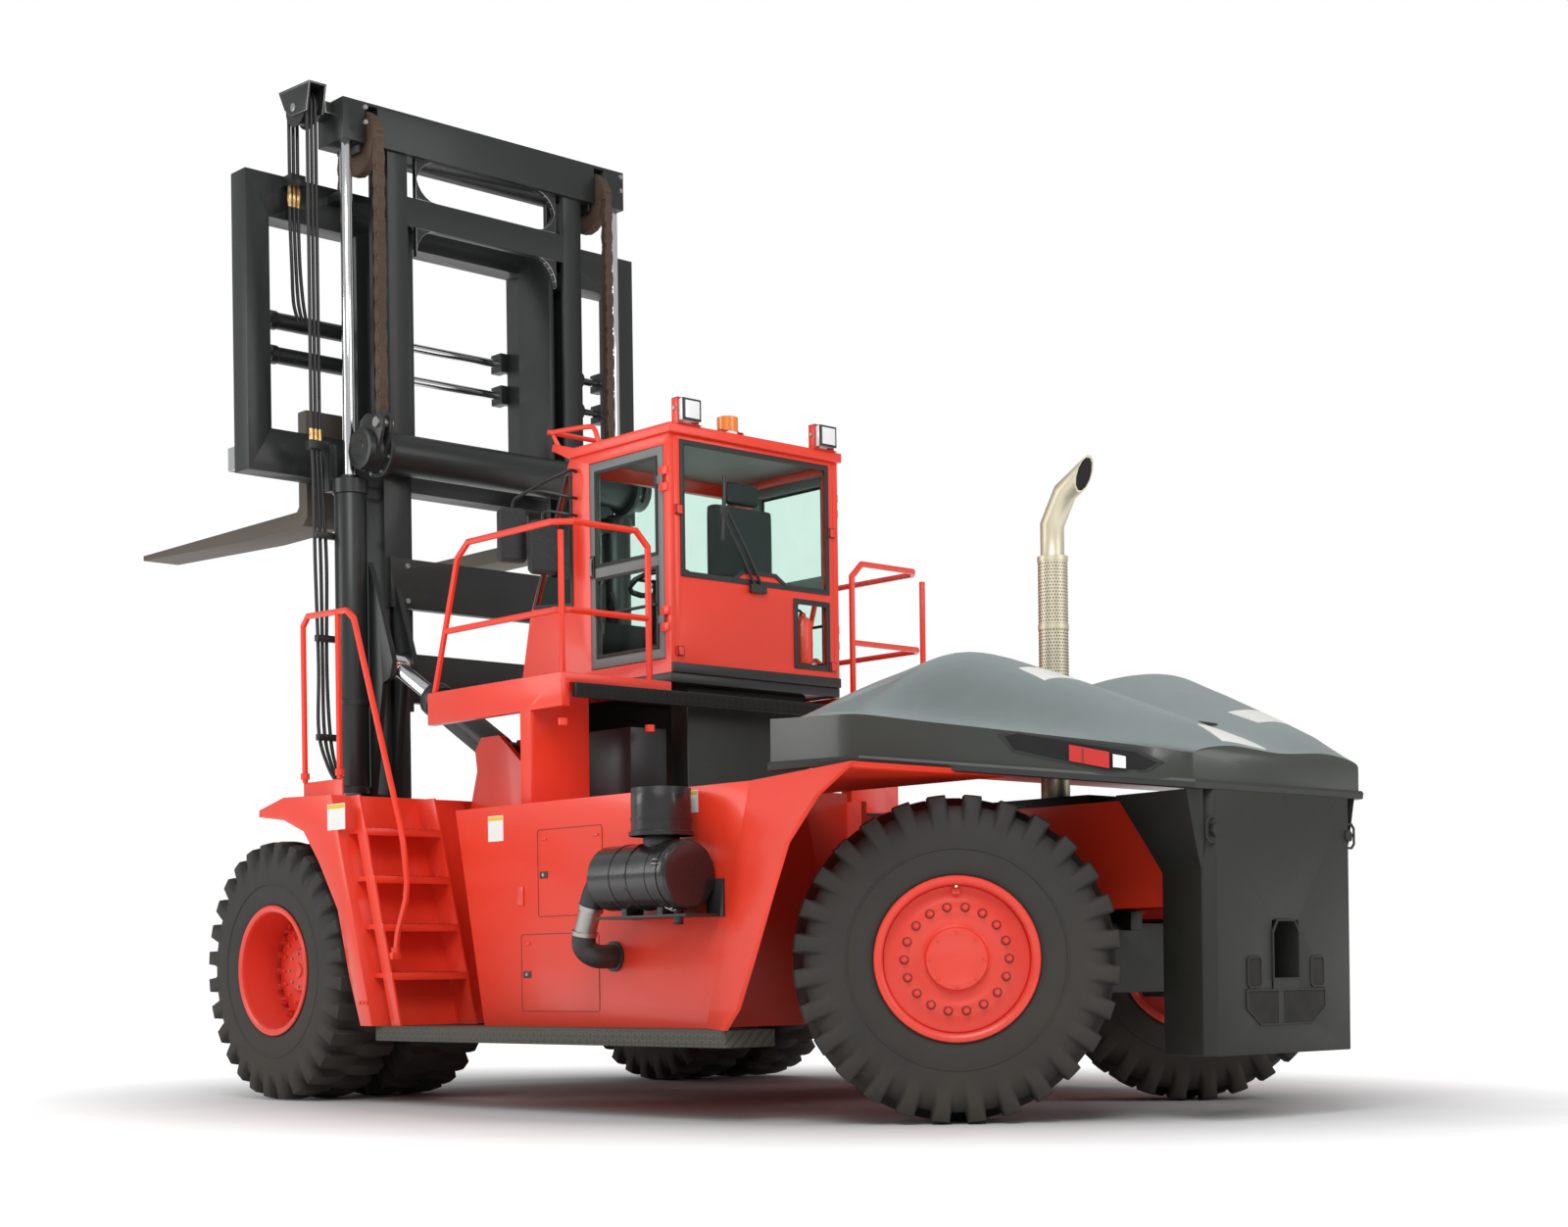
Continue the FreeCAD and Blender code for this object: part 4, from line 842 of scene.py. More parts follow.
# ------------------------------------------------------------------ repeats made by Geometry Nodes
class NodeTree(Tree):
    """A Geometry Nodes tree with named inputs, run once on an empty object."""

    def __init__(self, name: str, inputs: Sequence[tuple[str, str, object]]) -> None:
        """Makes the tree and its inputs.

        Args:
            name: the tree's name.
            inputs: label, socket type and value of each input.
        """
        super().__init__(bpy.data.node_groups.new(name + "_tree", "GeometryNodeTree"))
        self.name = name
        self.values = {}
        for label, kind, value in inputs:
            socket = self.tree.interface.new_socket(name=label, in_out="INPUT", socket_type="NodeSocket" + kind)
            self.values[socket.identifier] = value
        self.tree.interface.new_socket(name="Geometry", in_out="OUTPUT", socket_type="NodeSocketGeometry")
        self.start = self.tree.nodes.new("NodeGroupInput")
        self.end = self.tree.nodes.new("NodeGroupOutput")

    def fill(self, socket: bpy.types.NodeSocket, value: object) -> None:
        """Links an input, or sets it.

        Args:
            socket: the input.
            value: an output, a plain value, or the label of one of the tree's own inputs after an at sign.
        """
        if isinstance(value, str) and value.startswith("@"):
            value = self.start.outputs[value[1:]]
        super().fill(socket, value)

    def vector(self, x: object, y: object, z: object) -> bpy.types.NodeSocket:
        """A vector put together from three numbers.

        Args:
            x: a number or an output.
            y: a number or an output.
            z: a number or an output.

        Returns:
            The vector.
        """
        return self.node("ShaderNodeCombineXYZ", {0: x, 1: y, 2: z}).outputs[0]

    def shape(self, kind: str, **inputs: object) -> bpy.types.NodeSocket:
        """A geometry node's first result.

        Args:
            kind: the node's type name after GeometryNode.
            inputs: what each input gets, with _ for a space in its name.

        Returns:
            The geometry.
        """
        named = {label.replace("_", " "): value for label, value in inputs.items()}
        return self.node("GeometryNode" + kind, named).outputs[0]

    def repeat(self, points: bpy.types.NodeSocket, shape: bpy.types.NodeSocket,
               turn: object = (0, 0, 0)) -> bpy.types.NodeSocket:
        """Real copies of a shape on points.

        Args:
            points: geometry whose points get a copy.
            shape: what is copied.
            turn: each copy's rotation.

        Returns:
            The copies.
        """
        many = self.shape("InstanceOnPoints", Points=points, Instance=shape, Rotation=turn)
        return self.shape("RealizeInstances", Geometry=many)

    def together(self, *parts: bpy.types.NodeSocket) -> bpy.types.NodeSocket:
        """Joins some geometry.

        Args:
            parts: what is joined.

        Returns:
            All of it.
        """
        made = self.tree.nodes.new("GeometryNodeJoinGeometry")
        for part in reversed(parts):
            self.fill(made.inputs[0], part)
        return made.outputs[0]

    def mesh(self, geometry: bpy.types.NodeSocket, finish: Finish) -> bpy.types.Mesh:
        """Paints the geometry, runs the tree and keeps its mesh.

        Args:
            geometry: what is kept.
            finish: its finish.

        Returns:
            A plain mesh.
        """
        real = self.shape("RealizeInstances", Geometry=geometry)
        self.fill(self.end.inputs["Geometry"], self.shape("SetMaterial", Geometry=real, Material=finish.material()))
        obj = bpy.data.objects.new("work", bpy.data.meshes.new("work"))
        bpy.context.scene.collection.objects.link(obj)
        modifier = obj.modifiers.new("tree", "NODES")
        modifier.node_group = self.tree
        for identifier, value in self.values.items():
            modifier[identifier] = value
        obj.update_tag()
        bpy.context.view_layer.update()
        return baked(obj, self.name)


def baked(obj: bpy.types.Object, name: str) -> bpy.types.Mesh:
    """Turns a working object and its modifiers into a plain mesh, and removes the object.

    Args:
        obj: the working object.
        name: the mesh's name.

    Returns:
        The plain mesh.
    """
    mesh = bpy.data.meshes.new_from_object(obj.evaluated_get(bpy.context.evaluated_depsgraph_get()))
    mesh.name = name
    bpy.data.objects.remove(obj)
    return mesh


def bolt_circle(name: str, circle: float, count: int, size: float, height: float, sides: int,
                finish: Finish) -> bpy.types.Mesh:
    """Bolt heads standing on a circle in the XY plane, pointing up.

    Args:
        name: the mesh's name.
        circle: the circle's radius.
        count: how many there are.
        size: a head's radius.
        height: a head's height.
        sides: a head's sides.
        finish: their finish.

    Returns:
        A plain mesh.
    """
    tree = NodeTree(name, [("Count", "Int", count), ("Circle", "Float", circle), ("Size", "Float", size),
                           ("Height", "Float", height)])
    ring = tree.shape("MeshCircle", Vertices="@Count", Radius="@Circle")
    narrow = tree.maths("MULTIPLY", "@Size", HEAD_TAPER)
    head = tree.shape("MeshCone", Vertices=sides, Radius_Bottom="@Size", Radius_Top=narrow, Depth="@Height")
    return tree.mesh(tree.repeat(ring, head), finish)


def stud_grid(name: str, columns: int, rows: int, step: tuple[float, float], size: float, height: float,
              finish: Finish) -> bpy.types.Mesh:
    """Studs or holes on a grid in the XY plane.

    Args:
        name: the mesh's name.
        columns: how many along X.
        rows: how many along Y.
        step: their spacing along X and Y.
        size: a stud's radius.
        height: a stud's height.
        finish: their finish.

    Returns:
        A plain mesh.
    """
    tree = NodeTree(name, [("Columns", "Int", columns), ("Rows", "Int", rows), ("Size", "Float", size),
                           ("Height", "Float", height)])
    head = tree.shape("MeshCylinder", Vertices=8, Radius="@Size", Depth="@Height")
    grid = tree.shape("MeshGrid", Size_X=step[0] * (columns - 1), Size_Y=step[1] * (rows - 1), Vertices_X="@Columns",
                      Vertices_Y="@Rows")
    return tree.mesh(tree.repeat(grid, head), finish)


def leaf_chain(name: str, length: float, width: float) -> bpy.types.Mesh:
    """A run of leaf chain along Z from the origin, its pins along Y.

    Args:
        name: the mesh's name.
        length: how long the run is.
        width: across the plates.

    Returns:
        A plain mesh.
    """
    count = max(1, round(length / CHAIN_PITCH / 2))
    tree = NodeTree(name, [("Links", "Int", count), ("Pitch", "Float", length / count / 2), ("Width", "Float", width)])
    plate = tree.shape("MeshCylinder", Vertices=8, Radius=1.0, Depth=1.0)
    quarter = (math.radians(90), 0, 0)
    step = tree.maths("DIVIDE", "@Width", 5.0)
    reach = tree.maths("MULTIPLY", "@Pitch", 0.94)
    rows = []
    for part, plates in ((0, 5), (1, 4)):
        one = tree.shape("Transform", Geometry=plate, Rotation=quarter, Scale=tree.vector(0.028, reach, 0.012))
        line = tree.shape("MeshLine", Count=plates, Offset=tree.vector(0.0, step, 0.0))
        middle = tree.maths("MULTIPLY", step, -(plates - 1) / 2)
        lift = tree.maths("MULTIPLY", "@Pitch", 0.5 + part)
        row = tree.repeat(line, one)
        rows.append(tree.shape("Transform", Geometry=row, Translation=tree.vector(0.0, middle, lift)))
        pin = tree.shape("MeshCylinder", Vertices=6, Radius=0.011, Depth=tree.maths("MULTIPLY", "@Width", 1.04))
        low = tree.vector(0.0, 0.0, tree.maths("MULTIPLY", "@Pitch", float(part)))
        rows.append(tree.shape("Transform", Geometry=pin, Rotation=quarter, Translation=low))
    pair = tree.vector(0.0, 0.0, tree.maths("MULTIPLY", "@Pitch", 2.0))
    return tree.mesh(tree.repeat(tree.shape("MeshLine", Count="@Links", Offset=pair), tree.together(*rows)), CHAIN)


# ------------------------------------------------------------------ studio
@dataclass
class Studio:
    """Pale floor, soft lamps and the camera.

    Args:
        ground: the floor's side.
        heading: how far the camera looks to the right of straight ahead, in degrees.
        roll: how far it leans, in degrees.
        stand: where it stands, in metres from the rear axle.
        lens: its focal length, in millimetres on a sensor as wide as the next number.
        sensor: the sensor's width.
        shift: how far the picture is moved on the sensor, across and up.
        lamps: name, place, power and size of each lamp.
        target: what the lamps point at.
    """

    ground: float = 60.0
    heading: float = 42.74
    roll: float = 0.77
    stand: Point = (-8.54, 10.0, 0.77)
    lens: float = 54.92
    sensor: float = 36
    shift: tuple[float, float] = (-0.0075, 0.2288)
    lamps: Sequence[tuple[str, Point, float, float]] = (
        ("key", (-9, 9, 11), 900, 7.0), ("side", (-14, -3, 7), 320, 7.0), ("front", (7, 12, 6), 350, 6.0))
    target: Point = (0, 0, 1.8)

    def build(self) -> None:
        """Makes the floor, the world, the lamps and the camera."""
        self.floor()
        self.world()
        for name, place, power, size in self.lamps:
            lamp = bpy.data.lights.new(name, "AREA")
            lamp.energy = power
            lamp.size = size
            obj = bpy.data.objects.new(name, lamp)
            obj.location = place
            obj.rotation_euler = (Vector(self.target) - Vector(place)).to_track_quat("-Z", "Y").to_euler()
            bpy.context.scene.collection.objects.link(obj)
        self.camera()

    def floor(self) -> None:
        """A dull pale floor that glows as painted light more the further it is from the truck, lifting it to white;
        near the truck it does not glow, so the floor round the soft shadow is painted darker.
        """
        bpy.ops.mesh.primitive_plane_add(size=self.ground, location=(0, 0, 0))
        floor = bpy.context.object
        floor.name = "studio_floor"
        made, tree, shader = new_material("studio_floor")
        for label, value in (("Roughness", 0.9), ("Specular IOR Level", 0.1), ("Emission Color", (1, 1, 1, 1))):
            shader.inputs[label].default_value = value
        coords = tree.node("ShaderNodeTexCoord").outputs["Object"]
        speck = tree.spread(tree.noise(coords, 2.0), 0.3, 0.7, 0.0, 1.0)
        tree.fill(shader.inputs["Base Color"], tree.mix(speck, (0.62, 0.62, 0.62, 1), (0.58, 0.58, 0.58, 1)))
        place = tree.split(tree.node("ShaderNodeNewGeometry").outputs["Position"])
        x = tree.maths("MULTIPLY", tree.maths("ADD", place["X"], 1.0), 0.72)
        squares = tree.maths("MULTIPLY", x, x), tree.maths("MULTIPLY", place["Y"], place["Y"])
        reach = tree.maths("SQRT", tree.maths("ADD", *squares))
        # Painted light: the floor glows more the further it is from the truck, and not at all within the inner reach.
        tree.fill(shader.inputs["Emission Strength"], tree.spread(reach, 2.4, 5.1, 0.0, 0.85))
        floor.data.materials.append(made)

    def world(self) -> None:
        """An even light from all round, which looks white to the camera."""
        world = bpy.data.worlds.new("studio")
        bpy.context.scene.world = world
        world.use_nodes = True
        sky = Tree(world.node_tree)
        back = world.node_tree.nodes["Background"].inputs
        path = sky.node("ShaderNodeLightPath").outputs
        seen = sky.maths("MAXIMUM", path["Is Camera Ray"], path["Is Transmission Ray"])
        back["Color"].default_value = (1, 1, 1, 1)
        sky.fill(back["Strength"], sky.spread(seen, 0, 1, 0.50, 1.0))

    def camera(self) -> None:
        """Sets the camera low behind the truck's left rear wheel."""
        heading, roll = math.radians(self.heading), math.radians(self.roll)
        ahead = Vector((math.cos(heading), -math.sin(heading), 0))
        right = Vector((-math.sin(heading), -math.cos(heading), 0))
        down = Vector((0, 0, -1))
        across = math.cos(roll) * right + math.sin(roll) * down
        below = -math.sin(roll) * right + math.cos(roll) * down
        lens = bpy.data.cameras.new("camera")
        lens.sensor_width = self.sensor
        lens.lens = self.lens
        lens.shift_x, lens.shift_y = self.shift
        lens.clip_end = 200
        obj = bpy.data.objects.new("camera", lens)
        turn = Matrix((across, -below, -ahead)).transposed()
        obj.matrix_world = Matrix.Translation(at(*self.stand)) @ turn.to_4x4()
        bpy.context.scene.collection.objects.link(obj)
        bpy.context.scene.camera = obj


# ------------------------------------------------------------------ the truck
@dataclass
class Tyre:
    """A heavy lugged tyre with a bulged sidewall.

    Args:
        radius: to the lugs' tips.
        lugs: how many stand on each side.
        bead: the bead's radius.
        steps: where a pitch of the tread is cut, as parts of it.
    """

    radius: float = 0.825
    lugs: int = 28
    bead: float = 0.4003
    steps: Sequence[float] = (-0.5, -0.39, -0.31, -0.265, -0.235, -0.16, 0.0, 0.16, 0.235, 0.265, 0.31, 0.39)

    def sections(self) -> tuple[Outline, Outline]:
        """The tyre's half outlines as distance from the middle and radius.

        Returns:
            The outline between lugs, and over a lug.
        """
        r = self.radius
        wall = [(0.216, self.bead), (0.237, 0.428), (0.245, 0.470), (0.2475, 0.520), (0.2475, 0.546), (0.2525, 0.549),
                (0.2525, 0.556), (0.249, 0.560), (0.2495, 0.600)]
        low = wall + [(0.249, 0.640), (0.246, 0.665), (0.238, 0.700), (0.222, 0.735), (0.195, r - 0.062),
                      (0.14, r - 0.056), (0.09, r - 0.052), (0.05, r - 0.046), (0.0, r - 0.042)]
        high = wall + [(0.2495, 0.640), (0.250, 0.668), (0.2555, 0.700), (0.2555, 0.740), (0.252, 0.778),
                       (0.238, r - 0.014), (0.19, r - 0.003), (0.10, r), (0.0, r)]
        return low, high

    def lug(self, u: float, inward: float) -> float:
        """How far a point belongs to a lug.

        Args:
            u: its place in the pitch, 0 at the lug's middle.
            inward: from 0 at the bead to 1 at the tread's middle.

        Returns:
            A number from 0 to 1.
        """
        width = 0.25 + 0.05 * max(0.0, (inward - 0.75) / 0.25)
        return min(1.0, max(0.0, 0.5 - (abs(u) - width) / 0.06))

    def rings(self) -> list[list[Vector]]:
        """The skin from one bead over the tread to the other.

        Returns:
            Closed rings about the Y axis.
        """
        low, high = self.sections()
        last = len(low) - 1
        pitch = 2 * math.pi / self.lugs
        turns = [(i, u) for i in range(self.lugs) for u in self.steps]
        rings = []
        for side, k in [(-1, k) for k in range(last + 1)] + [(1, k) for k in reversed(range(last))]:
            ring = []
            for i, u in turns:
                shift = 0.5 if side > 0 and k < last else 0.0
                angle = pitch * (i + u + shift)
                mask = self.lug(u, k / last) if k < last else 0.55
                y = low[k][0] + (high[k][0] - low[k][0]) * mask
                r = low[k][1] + (high[k][1] - low[k][1]) * mask
                ring.append(Vector((r * math.cos(angle), side * y, r * math.sin(angle))))
            half_pitch = len(self.steps) // 2
            rings.append(ring[-half_pitch:] + ring[:-half_pitch] if side > 0 else ring)
        rings.append([Vector((self.bead * math.cos(a), 0.0, self.bead * math.sin(a)))
                      for a in (pitch * (i + u) for i, u in turns)])
        return rings

    def build(self, name: str, body: str, node: str, places: Sequence[Matrix]) -> None:
        """Makes a tyre at each place.

        Args:
            name: the piece's name.
            body: the body that they ride on.
            node: the CAD node that they stand for together.
            places: where they go.
        """
        shape = Shape()
        for place in places:
            shape.rings([[place @ p for p in ring] for ring in self.rings()], RUBBER, close=True)
        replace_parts(shape.place(name, body, 40), node)


class End(Enum):
    """Which axle a wheel stands on."""

    FRONT = "front"
    REAR = "rear"


@dataclass
class Wheel:
    """A red wheel centre: barrel, lip rings, dished disc, nuts and hub cap.

    Args:
        radius: the barrel's radius.
        bore: the barrel's inside radius.
    """

    radius: float = 0.3995
    bore: float = 0.372

    def lip(self, shape: Shape, y: float, way: float) -> None:
        """A lock ring lying against the tyre's side.

        Args:
            shape: what it is added to.
            y: where it lies.
            way: 1 where it faces out, -1 where it faces in.
        """
        loop = [(0.0, self.radius), (0.004, 0.413), (0.014, 0.4165), (0.021, 0.411), (0.0225, 0.400), (0.019, 0.389),
                (0.012, self.bore + 0.006), (-0.02, self.bore), (-0.03, self.radius)]
        shape.turned((0, y, 0), (0, way, 0), loop, DEEP_RED, 64)

    def barrel(self, shape: Shape, low: float, high: float) -> None:
        """The band that the tyre's beads sit on.

        Args:
            shape: what it is added to.
            low: where it starts.
            high: where it ends.
        """
        loop = [(low, self.radius), (high, self.radius), (high, self.bore), (low, self.bore)]
        shape.turned((0, 0, 0), (0, 1, 0), loop, DEEP_RED, 64)

    def disc(self, shape: Shape, face: Outline, hub: Outline, circles: Sequence[tuple]) -> None:
        """The dished disc, the hub behind it and what is bolted to it.

        Args:
            shape: what it is added to.
            face: the disc's section.
            hub: the hub's section.
            circles: name, circle, count, size, height, place, sides and finish of each circle of bolts.
        """
        shape.lathe((0, 0, 0), (0, 1, 0), face, DEEP_RED, 64)
        shape.lathe((0, 0, 0), (0, 1, 0), hub, DEEP_RED, 32)
        up = Matrix.Rotation(math.radians(-90), 4, "X")
        for name, circle, count, size, height, y, sides, finish in circles:
            bolts = bolt_circle(name, circle, count, size, height, sides, finish)
            shape.add(bolts, finish, Matrix.Translation((0, y, 0)) @ up)

    def rear(self) -> Shape:
        """The single wheel.

        Returns:
            The wheel, its outside towards +Y.
        """
        shape = Shape()
        self.barrel(shape, -0.228, 0.232)
        self.lip(shape, 0.232, 1)
        self.lip(shape, -0.228, -1)
        face = [(0.128, self.bore), (0.166, self.bore), (0.172, self.bore - 0.008), (0.172, 0.305), (0.176, 0.298),
                (0.176, 0.228), (0.172, 0.221), (0.172, 0.174), (0.180, 0.162), (0.204, 0.158), (0.212, 0.152),
                (0.214, 0.144), (0.214, 0.128), (0.211, 0.122), (0.211, 0.03)]
        self.disc(shape, face, [(-0.04, 0.128), (0.13, 0.128)], (
            ("washers", 0.262, 18, 0.025, 0.005, 0.176, 14, DARK_RED),
            ("nuts", 0.262, 18, 0.0185, 0.026, 0.181, 6, DEEP_RED),
            ("studs", 0.262, 18, 0.011, 0.010, 0.207, 8, DEEP_RED),
            ("cap_bolts", 0.137, 8, 0.009, 0.007, 0.214, 6, DEEP_RED)))
        shape.block((-0.02, 0.17, 0.325), (0.02, 0.196, 0.352), DEEP_RED, 0.003)
        shape.tube([(0, 0.19, 0.338), (0, 0.21, 0.350), (0.0, 0.238, 0.362)], 0.006, BRASS, 8)
        return shape

    def front(self) -> Shape:
        """The twin wheel.

        Returns:
            The wheel, its outside towards +Y, placed from the truck's middle.
        """
        shape = Shape()
        self.barrel(shape, 0.998, 2.102)
        for y, way in ((2.102, 1), (1.648, -1), (1.452, 1), (0.998, -1)):
            self.lip(shape, y, way)
        face = [(1.690, self.bore), (1.80, self.bore), (1.806, 0.362), (1.816, 0.350), (1.852, 0.340), (1.858, 0.330),
                (1.858, 0.276), (1.866, 0.266), (1.880, 0.256), (1.886, 0.246), (1.888, 0.215), (1.890, 0.152),
                (1.900, 0.140), (1.916, 0.136), (1.922, 0.128), (1.924, 0.05), (1.934, 0.045), (1.938, 0.02)]
        self.disc(shape, face, [(1.036, 0.205), (1.30, 0.205), (1.36, 0.24), (1.69, 0.24)], (
            ("wedges", 0.352, 20, 0.024, 0.050, 1.812, 4, DEEP_RED),
            ("wedge_nuts", 0.316, 20, 0.0165, 0.036, 1.858, 6, DEEP_RED),
            ("wedge_studs", 0.316, 20, 0.009, 0.010, 1.894, 8, STEEL),
            ("hub_ring", 0.222, 16, 0.013, 0.016, 1.888, 6, DEEP_RED),
            ("plate_bolts", 0.105, 8, 0.009, 0.009, 1.924, 6, STEEL)))
        return shape


class Wheels:
    """All six tyres and their wheels."""

    def build(self) -> None:
        """Makes the tyres and wheels."""
        turn = Matrix.Rotation(math.radians(STEERED), 4, "Z")
        for side, word in ((1, "left"), (-1, "right")):
            mirror = Matrix.Scale(side, 4, (0, 1, 0))
            twins = [Matrix.Translation(at(FRONT_X, side * y, WHEEL_Z)) for y in TWIN_Y]
            self.end(End.FRONT, word, twins, Matrix.Translation(at(FRONT_X, 0, WHEEL_Z)) @ mirror)
            kingpin = Matrix.Translation(at(REAR_X, side * KINGPIN_Y, WHEEL_Z))
            single = kingpin @ turn @ Matrix.Translation((0, side * WHEEL_OFFSET, 0))
            self.end(End.REAR, word, [single], single @ mirror)

    def end(self, end: End, word: str, tyres: Sequence[Matrix], centre: Matrix) -> None:
        """Makes one wheel and its tyres.

        Args:
            end: the axle that it stands on.
            word: left or right.
            tyres: the tyres' places.
            centre: the wheel's place.
        """
        front = end is End.FRONT
        name, body, plural = f"{end.value}_{word}", f"wheel_{end.value}_{word}", "s" if front else ""
        Tyre().build(name + "_treads", body, name + "_tyre" + plural, tyres)
        shape = Wheel().front() if front else Wheel().rear()
        bmesh.ops.transform(shape.bm, matrix=centre, verts=shape.bm.verts)
        if centre.determinant() < 0:
            bmesh.ops.reverse_faces(shape.bm, faces=shape.bm.faces)
        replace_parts(shape.place(name + "_centre", body, 32), name + "_rim" + plural)


@dataclass
class Mast:
    """Chains, hoses, bolts and fittings of the mast and carriage, in metres.

    Args:
        chain_y: the chains' distance from the middle.
        rear_run: where the rear runs stand.
        front_run: where the front runs stand.
        anchor: the anchors' height.
        sheave: the sheaves' height.
        lug: the carriage's lug height.
        chain_width: across a chain's plates.
        lift_x: where the lift cylinders stand along the truck.
        lift_y: their distance from the middle.
        tube_x: where the torsion tube lies.
        pulley_x: where the hose pulley stands along the truck.
        pulley: its height.
        hose_y: the three hoses' places across the truck.
        hose: a hose's radius.
        hose_bend: the radius at which they go over the pulley.
        rail_in: the inner stage's inside face.
    """

    chain_y: float = 0.985
    chain_width: float = 0.07
    rear_run: float = 5.29
    front_run: float = 5.73
    anchor: float = 4.47
    sheave: float = 6.47
    lug: float = 6.222
    lift_x: float = 5.44
    lift_y: float = 1.15
    tube_x: float = 5.22
    pulley_x: float = 5.68
    pulley: float = 6.70
    hose_y: Sequence[float] = (1.308, 1.34, 1.372)
    hose: float = 0.0125
    hose_bend: float = 0.118
    rail_in: float = 0.605

    def chains(self) -> None:
        """Four runs of leaf chain; the long ones pass between the two stages."""
        inner = "mast_inner"
        for side, word in ((1, "left"), (-1, "right")):
            for run, x, foot, ends, name, node in (
                    ("_rear", self.rear_run, self.anchor, ("mast_outer", inner), "_lift_chain", "lift_chains"),
                    ("_front", self.front_run, self.lug, (inner, "carriage"), "_carriage_chain", "carriage_chains")):
                shape = Shape()
                low, high = at(x, side * self.chain_y, foot), at(x, side * self.chain_y, self.sheave)
                shape.add(leaf_chain(word + run, self.sheave - foot, self.chain_width), CHAIN, Matrix.Translation(low))
                made = shape.place(word + name, None, None)
                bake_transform(made)
                if side > 0:
                    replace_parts(made, node)

    def sheave_bend(self) -> None:
        """Chain plates lying over each sheave."""
        shape = Shape()
        count, radius = 17, 0.221
        for side in (1, -1):
            middle = at(5.51, side * self.chain_y, self.sheave)
            for i in range(count):
                turn = Matrix.Rotation(math.radians(180 * i / (count - 1) - 90), 4, "Y")
                place = Matrix.Translation(middle) @ turn @ Matrix.Translation((0, 0, radius))
                plates = 5 if i % 2 else 4
                for k in range(plates):
                    y = (k - (plates - 1) / 2) * 0.014 - 0.005
                    corners = [(-0.038, y, -0.024), (0.038, y, -0.024), (0.038, y, 0.024), (-0.038, y, 0.024)]
                    shape.slab([place @ Vector(c) for c in corners], turn @ Vector((0, 0.010, 0)), CHAIN)
        shape.place("chain_bends", "mast_inner")

    def build(self) -> None:
        """Makes every piece of the mast that moves or is bolted on."""
        self.chains()
        self.sheave_bend()
        self.hoses()
        self.outer()
        self.inner()
        self.carriage()

    def outer(self) -> None:
        """Cylinder rings, the torsion tube's ends, the hose run, clamps and bolts on the fixed stage."""
        shape = Shape()
        for side in (1, -1):
            barrel = at(self.lift_x, side * self.lift_y, 0)
            for z0, z1, r in ((2.02, 2.07, 0.119), (2.62, 2.66, 0.115), (4.06, 4.16, 0.120)):
                loop = [(z0, 0.109), (z0, r), (z1 - 0.006, r), (z1, r - 0.006), (z1, 0.105)]
                shape.turned(barrel, (0, 0, 1), loop, MAST, 40)
            loop = [(4.16, 0.0435), (4.16, 0.07), (4.185, 0.066), (4.185, 0.0435)]
            shape.turned(barrel, (0, 0, 1), loop, BLACK, 32)
            for z in (1.35, 1.51, 3.35, 3.59):
                shape.lathe(at(5.29, side * 0.80, z), (-1, 0, 0), [(0.0, 0.02), (0.014, 0.019)], STEEL, 6)
            self.tube_end(shape, side)
        x = self.pulley_x - self.hose_bend
        coupling = [(0.0, 0.017), (0.05, 0.017), (0.055, 0.015), (0.10, 0.0142)]
        for i, y in enumerate(self.hose_y):
            shape.lathe(at(x, y, 4.40), (0, 0, 1), coupling, BRASS, 8)
            sway = 0.012 * (i - 1)
            line = [(0.0, 0.0, 4.42), (0.02, 0.0, 4.15), (0.03, 0.01 - sway, 3.6), (0.02, 0.02, 2.9),
                    (0.03, 0.02 - sway, 2.45), (0.05, 0.06, 2.22), (0.09, 0.11, 2.10), (0.12, 0.16, 2.06)]
            shape.tube([at(x - back, y - inward, z) for back, inward, z in line], self.hose, HOSE, 8)
        shape.blocks(MAST, 0.004, (5530, 1240, 4360, 5600, 1400, 4420), (5500, 1205, 4080, 5580, 1265, 4400),
                     *((5490, 1030, z, 5530, 1390, z + 45) for z in (3750, 3050, 2380)))
        shape.place("outer_mast_fittings", "mast_outer")

    def tube_end(self, shape: Shape, side: int) -> None:
        """The round end plate and the lug ears of the torsion tube.

        Args:
            shape: what it is added to.
            side: 1 for the left, -1 for the right.
        """
        middle, out = at(self.tube_x, 0, 4.33), (0, side, 0)
        plate = [(1.042, 0.139), (1.042, 0.178), (1.046, 0.184), (1.07, 0.184), (1.075, 0.178), (1.075, 0.139)]
        shape.turned(middle, out, plate, MAST, 40)
        cap = [(1.20, 0.10), (1.2125, 0.10), (1.216, 0.094), (1.216, 0.055), (1.222, 0.05)]
        shape.lathe(middle, out, cap, MAST, 32)
        for a in (math.radians(22.5 + 45 * k) for k in range(8)):
            place = middle + Vector((0.160 * math.cos(a), side * 1.075, 0.160 * math.sin(a)))
            shape.lathe(place, out, [(0, 0.013), (0.012, 0.012)], STEEL, 6)
        ear = [(0.10, 0.10), (0.06, 0.20), (-0.02, 0.24), (-0.10, 0.21), (-0.17, 0.23), (-0.21, 0.17), (-0.20, 0.09),
               (-0.16, 0.0), (-0.12, -0.09), (0.02, -0.15), (0.10, -0.12)]
        for y in (1.078, 1.14):
            shape.slab([middle + Vector((x, side * y, z)) for x, z in ear], (0, side * 0.026, 0), MAST, 0.004)
        shape.lathe(middle + Vector((-0.155, side * 1.06, 0.155)), out, [(0, 0.034), (0.125, 0.034)], STEEL, 20)

